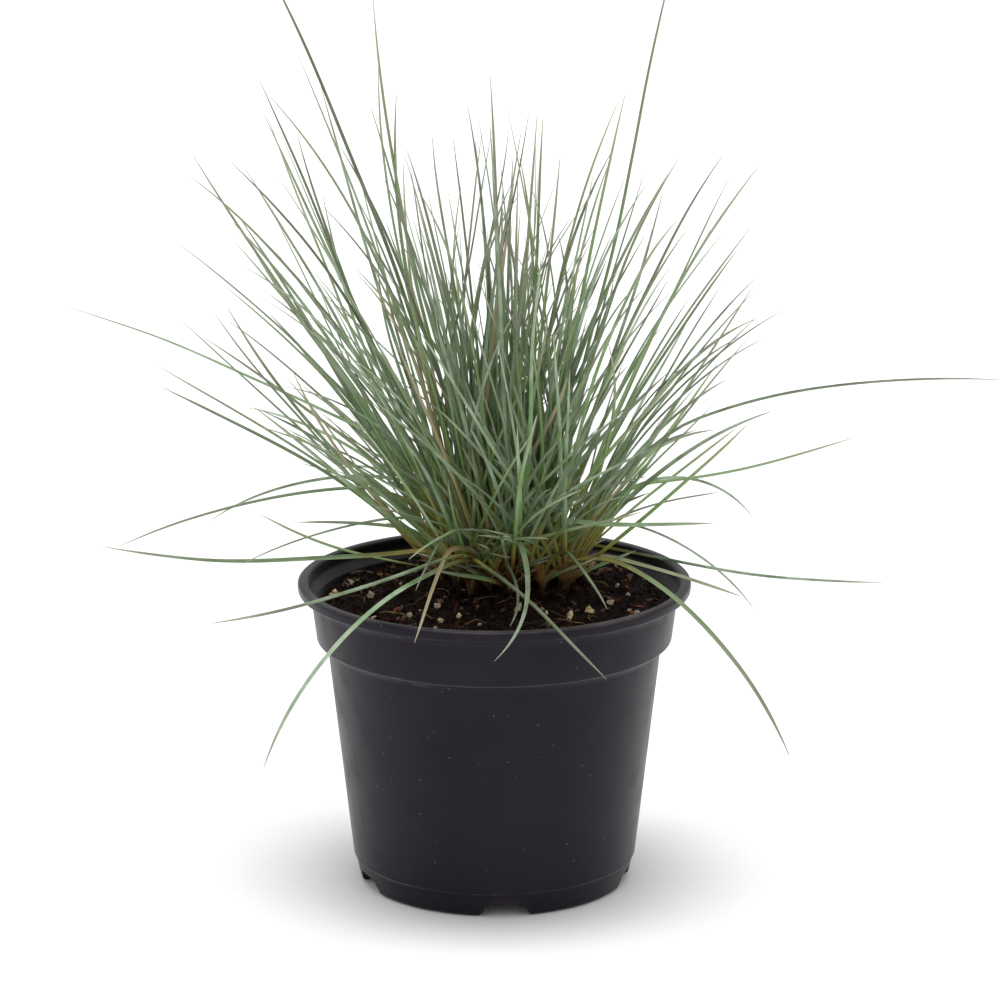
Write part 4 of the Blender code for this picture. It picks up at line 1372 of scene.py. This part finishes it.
def dust_group():
    """Pale dust: a film that settles on what faces up, and separate specks."""
    tree, given, result = new_group("dust", [
        ("Colour", COLOUR, GREY), ("Dust", COLOUR, GREY), ("Film", FLOAT, 0.2),
        ("Specks", FLOAT, 0.5), ("Per Metre", FLOAT, 900.0),
    ], [("Colour", COLOUR), ("Mask", FLOAT)])
    place = object_place(tree)
    up = part_of(tree, add(tree, "ShaderNodeNewGeometry").outputs["Normal"], "Z")
    cloud = clouds(tree, place, 60.0, 6.0)
    film = times(tree, eased(tree, up, 0.0, 0.9, 0.06, 1.0), eased(tree, cloud, 0.3, 0.7), given["Film"])
    cells = add(tree, "ShaderNodeTexVoronoi", {"Vector": place, "Scale": given["Per Metre"]}).outputs
    near = eased(tree, cells["Distance"], 0.10, 0.17, 1.0, 0.0)
    own = add(tree, "ShaderNodeSeparateColor", {0: cells["Color"]}).outputs[0]
    specks = times(tree, near, eased(tree, own, 0.86, 0.90), given["Specks"])
    mask = worked_out(tree, "MAXIMUM", film, specks)
    feed(tree, result, {"Colour": mixed(tree, mask, given["Colour"], given["Dust"]), "Mask": mask})
    return tree


def rib_group():
    """Lines that run along a blade, from 0 to 1, broken up a little."""
    tree, given, result = new_group("ribs", [
        ("Across", FLOAT, 0.0), ("Along", FLOAT, 0.0), ("Lines", FLOAT, 9.0),
    ], [("Value", FLOAT)])
    phase = times(tree, given["Across"], given["Lines"])
    place = add(tree, "ShaderNodeCombineXYZ", {0: phase, 1: times(tree, given["Along"], 14.0)})
    cloud = clouds(tree, place.outputs[0], 0.6, 2.0)
    both = plus(tree, times(tree, worked_out(tree, "SINE", phase), 0.3), cloud)
    feed(tree, result, {"Value": eased(tree, both, 0.15, 0.85)})
    return tree


def vary_group():
    """A colour moved a little in hue, strength and brightness by a piece's own tint."""
    tree, given, result = new_group("vary", [
        ("Colour", COLOUR, GREY), ("Tint", FLOAT, 0.5), ("Hue Range", FLOAT, 0.04),
        ("Strength Range", FLOAT, 0.3), ("Brightness Range", FLOAT, 0.4),
    ], [("Colour", COLOUR)])
    away = worked_out(tree, "SUBTRACT", given["Tint"], 0.5)
    other = worked_out(tree, "SUBTRACT", fraction(tree, times(tree, given["Tint"], 7.31)), 0.5)
    shifted = add(tree, "ShaderNodeHueSaturation", {
        "Hue": plus(tree, times(tree, away, given["Hue Range"]), 0.5),
        "Saturation": plus(tree, times(tree, other, given["Strength Range"]), 1.0),
        "Value": plus(tree, times(tree, other, given["Brightness Range"]), 1.0),
        "Color": given["Colour"],
    })
    feed(tree, result, {"Colour": shifted.outputs[0]})
    return tree


MOTTLE, GRAIN, DUST, RIBS, VARY = mottle_group(), grain_group(), dust_group(), rib_group(), vary_group()


def from_group(tree, group, values):
    return add(tree, "ShaderNodeGroup", values, node_tree=group).outputs


def mottled(tree, per_metre, detail=4.0, low=0.35, high=0.65):
    values = {"Per Metre": per_metre, "Detail": detail, "Low": low, "High": high}
    return from_group(tree, MOTTLE, values)["Value"]


def grained(tree, per_metre, strength, height):
    values = {"Per Metre": per_metre, "Strength": strength, "Height": height}
    return from_group(tree, GRAIN, values)["Normal"]


def varied(tree, base, hue, strength, brightness):
    """A colour that differs from piece to piece, by as much as these ranges."""
    values = {"Colour": base, "Tint": attribute(tree, "tint"), "Hue Range": hue,
              "Strength Range": strength, "Brightness Range": brightness}
    return from_group(tree, VARY, values)["Colour"]


# Materials

def new_material(name):
    material = bpy.data.materials.new(name)
    material.use_nodes = True
    return material, material.node_tree


def surfaced(material, **sockets):
    """A material whose shader has these values, with its spaces written as underscores."""
    tree = material.node_tree
    values = {label.replace("_", " "): value for label, value in sockets.items()}
    feed(tree, tree.nodes["Principled BSDF"].inputs, values)
    return material


def black_plastic():
    """Thin moulded plastic: near black, satin, dusty, with a painted highlight on its edges and painted
    shade on its inner faces.
    """
    material, tree = new_material("black_plastic")
    base = mixed(tree, mottled(tree, per_metre=45.0, low=0.3, high=0.7), PLASTIC_DARK, PLASTIC_PALE)
    geometry = add(tree, "ShaderNodeNewGeometry").outputs
    # Convex edges, picked by pointiness, are lightened towards light grey as a painted highlight
    edges = eased(tree, geometry["Pointiness"], *HIGHLIGHT_EDGES)
    edge_highlit = mixed(tree, times(tree, edges, EDGE_HIGHLIGHT), base, PLASTIC_EDGE_HIGHLIGHT)
    # Faces that look inwards, towards the pot's axis, are darkened near black as painted shade; stained
    # holds that shaded colour
    outward = add(tree, "ShaderNodeVectorMath", {0: geometry["Normal"], 1: object_place(tree)},
                  operation="DOT_PRODUCT").outputs["Value"]
    inside = eased(tree, outward, *INWARD_FACING, INSIDE_SHADE_STRENGTH, 0.0)
    stained = mixed(tree, inside, edge_highlit, PAINTED_INSIDE_SHADE)
    dusty = from_group(tree, DUST, {"Colour": stained, "Dust": POT_DUST, "Film": 0.16, "Specks": 0.22,
                                    "Per Metre": 520.0})
    streaks = mottled(tree, per_metre=130.0, detail=8.0, low=0.4, high=0.8)
    satin = eased(tree, streaks, 0.0, 1.0, *POT_ROUGHNESS)
    rough = plus(tree, satin, times(tree, dusty["Mask"], DUST_ROUGHNESS))
    grain = grained(tree, per_metre=1500.0, strength=0.12, height=0.00008)
    return surfaced(material, Base_Color=dusty["Colour"], Roughness=rough, Metallic=0.0, Normal=grain,
                    Specular_IOR_Level=0.15, Sheen_Weight=0.17, Sheen_Roughness=0.35)


def peat(name, roughness):
    """Moist peat: dark brown, with reddish and blacker places."""
    material, tree = new_material(name)
    base = mixed(tree, mottled(tree, per_metre=260.0, detail=6.0, high=0.68), PEAT_DARK, PEAT_WARM)
    tone = varied(tree, base, hue=0.05, strength=0.5, brightness=1.2)
    grain = grained(tree, per_metre=2600.0, strength=0.9, height=0.0003)
    return surfaced(material, Base_Color=tone, Roughness=roughness, Normal=grain, Specular_IOR_Level=0.12)


def perlite_white():
    """Expanded mineral: off-white and pitted, stained by the peat."""
    material, tree = new_material("perlite_white")
    stains = mottled(tree, per_metre=700.0, detail=5.0, low=0.4, high=0.75)
    base = mixed(tree, stains, PERLITE_CREAM, PERLITE_STAIN)
    tone = varied(tree, base, hue=0.02, strength=0.5, brightness=0.5)
    grain = grained(tree, per_metre=3200.0, strength=1.0, height=0.0003)
    return surfaced(material, Base_Color=tone, Roughness=0.85, Normal=grain)


def bark():
    """Chips of bark: red-brown, fibrous."""
    material, tree = new_material("bark")
    base = mixed(tree, mottled(tree, per_metre=500.0, detail=6.0), BARK_DARK, BARK_WARM)
    tone = varied(tree, base, hue=0.04, strength=0.6, brightness=1.3)
    grain = grained(tree, per_metre=2200.0, strength=0.8, height=0.0003)
    return surfaced(material, Base_Color=tone, Roughness=0.8, Normal=grain)


def thread_fibre():
    """Root threads and old straws: tan to brown."""
    material, tree = new_material("thread_fibre")
    base = mixed(tree, mottled(tree, per_metre=400.0), FIBRE_BROWN, FIBRE_TAN)
    tone = varied(tree, base, hue=0.04, strength=0.6, brightness=1.4)
    return surfaced(material, Base_Color=tone, Roughness=0.75)


def fescue_leaf():
    """Blue-green blade with a waxy bloom: brown at its foot, painted darker towards the soil as shade,
    and dry where it has died back.
    """
    material, tree = new_material("fescue_leaf")
    along = attribute(tree, "along")
    living = varied(tree, ramped(tree, along, LIVING_STOPS), hue=0.042, strength=0.35, brightness=1.1)
    bloom = mottled(tree, per_metre=120.0, detail=5.0, low=0.3, high=0.7)
    own = fraction(tree, times(tree, attribute(tree, "tint"), 5.17))
    wax = times(tree, bloom, eased(tree, own, 0.2, 1.0, *WAX_STRENGTHS), eased(tree, along, *WAX_STARTS))
    waxed = mixed(tree, wax, living, LEAF_WAX)
    across = attribute(tree, "across")
    ribs = from_group(tree, RIBS, {"Across": across, "Along": along, "Lines": RIB_COUNT})["Value"]
    lined = mixed(tree, times(tree, ribs, RIB_STRENGTH), waxed, LEAF_RIB)
    # The foot colour: brown and olive sheaths, with painted shade darkening them towards the soil
    level = plus(tree, part_of(tree, object_place(tree), "Z"), times(tree, bloom, FOOT_PATCHINESS))
    low = times(tree, eased(tree, level, *FOOT_FADE_LEVELS, 1.0, 0.0),
                eased(tree, along, *FOOT_FADE_SHARES, 1.0, 0.0))
    foot = ramped(tree, eased(tree, level, *FOOT_LEVELS), FOOT_AND_SHADE_STOPS)
    straw = ramped(tree, along, STRAW_STOPS)
    coloured = mixed(tree, attribute(tree, "dry"), mixed(tree, low, lined, foot), straw)
    rough = eased(tree, bloom, 0.0, 1.0, *LEAF_ROUGHNESS)
    bump = bumped(tree, ribs, 0.35, 0.0001)
    return surfaced(material, Base_Color=coloured, Roughness=rough, Normal=bump, Specular_IOR_Level=0.4)


# Floor, light and view

def make_floor():
    sketch = bmesh.new()
    bmesh.ops.create_grid(sketch, x_segments=1, y_segments=1, size=FLOOR_SIZE / 2 * MM)
    mesh = sketched(sketch, "floor")
    floor = new_object("floor", mesh)
    mesh.materials.append(surfaced(new_material("white_floor")[0], Base_Color=FLOOR_WHITE,
                                   Roughness=0.9, Specular_IOR_Level=0.0))


def make_light():
    world = bpy.data.worlds.new("studio")
    world.use_nodes = True
    sky = world.node_tree.nodes["Background"]
    feed(world.node_tree, sky.inputs, {"Color": WHITE, "Strength": WORLD_STRENGTH})
    bpy.context.scene.world = world
    data = bpy.data.lights.new("overhead", "SUN")
    data.energy = OVERHEAD_STRENGTH / len(TILTS_ASIDE)
    data.angle = math.radians(OVERHEAD_SPREAD)
    for aside in TILTS_ASIDE:
        lamp = new_object("overhead", data)
        lamp.rotation_euler = (math.radians(OVERHEAD_TILT), math.radians(aside), 0.0)
    bpy.context.scene.view_settings.view_transform = "Standard"


def make_camera():
    data = bpy.data.cameras.new("view")
    data.lens = CAMERA_LENS
    data.sensor_width = SENSOR_WIDTH
    camera = new_object("view", data)
    camera.location = scaled([CAMERA_PLACE])[0]
    camera.rotation_euler = (math.radians(90.0 - CAMERA_PITCH), 0.0, 0.0)
    bpy.context.scene.camera = camera


make_pot(black_plastic())
make_soil(peat("peat", 0.9))
make_crumbs(peat("peat_crumb", 0.8))
make_perlite(perlite_white())
make_chips(bark())
make_threads(thread_fibre())
make_grass(fescue_leaf())
make_floor()
make_light()
make_camera()
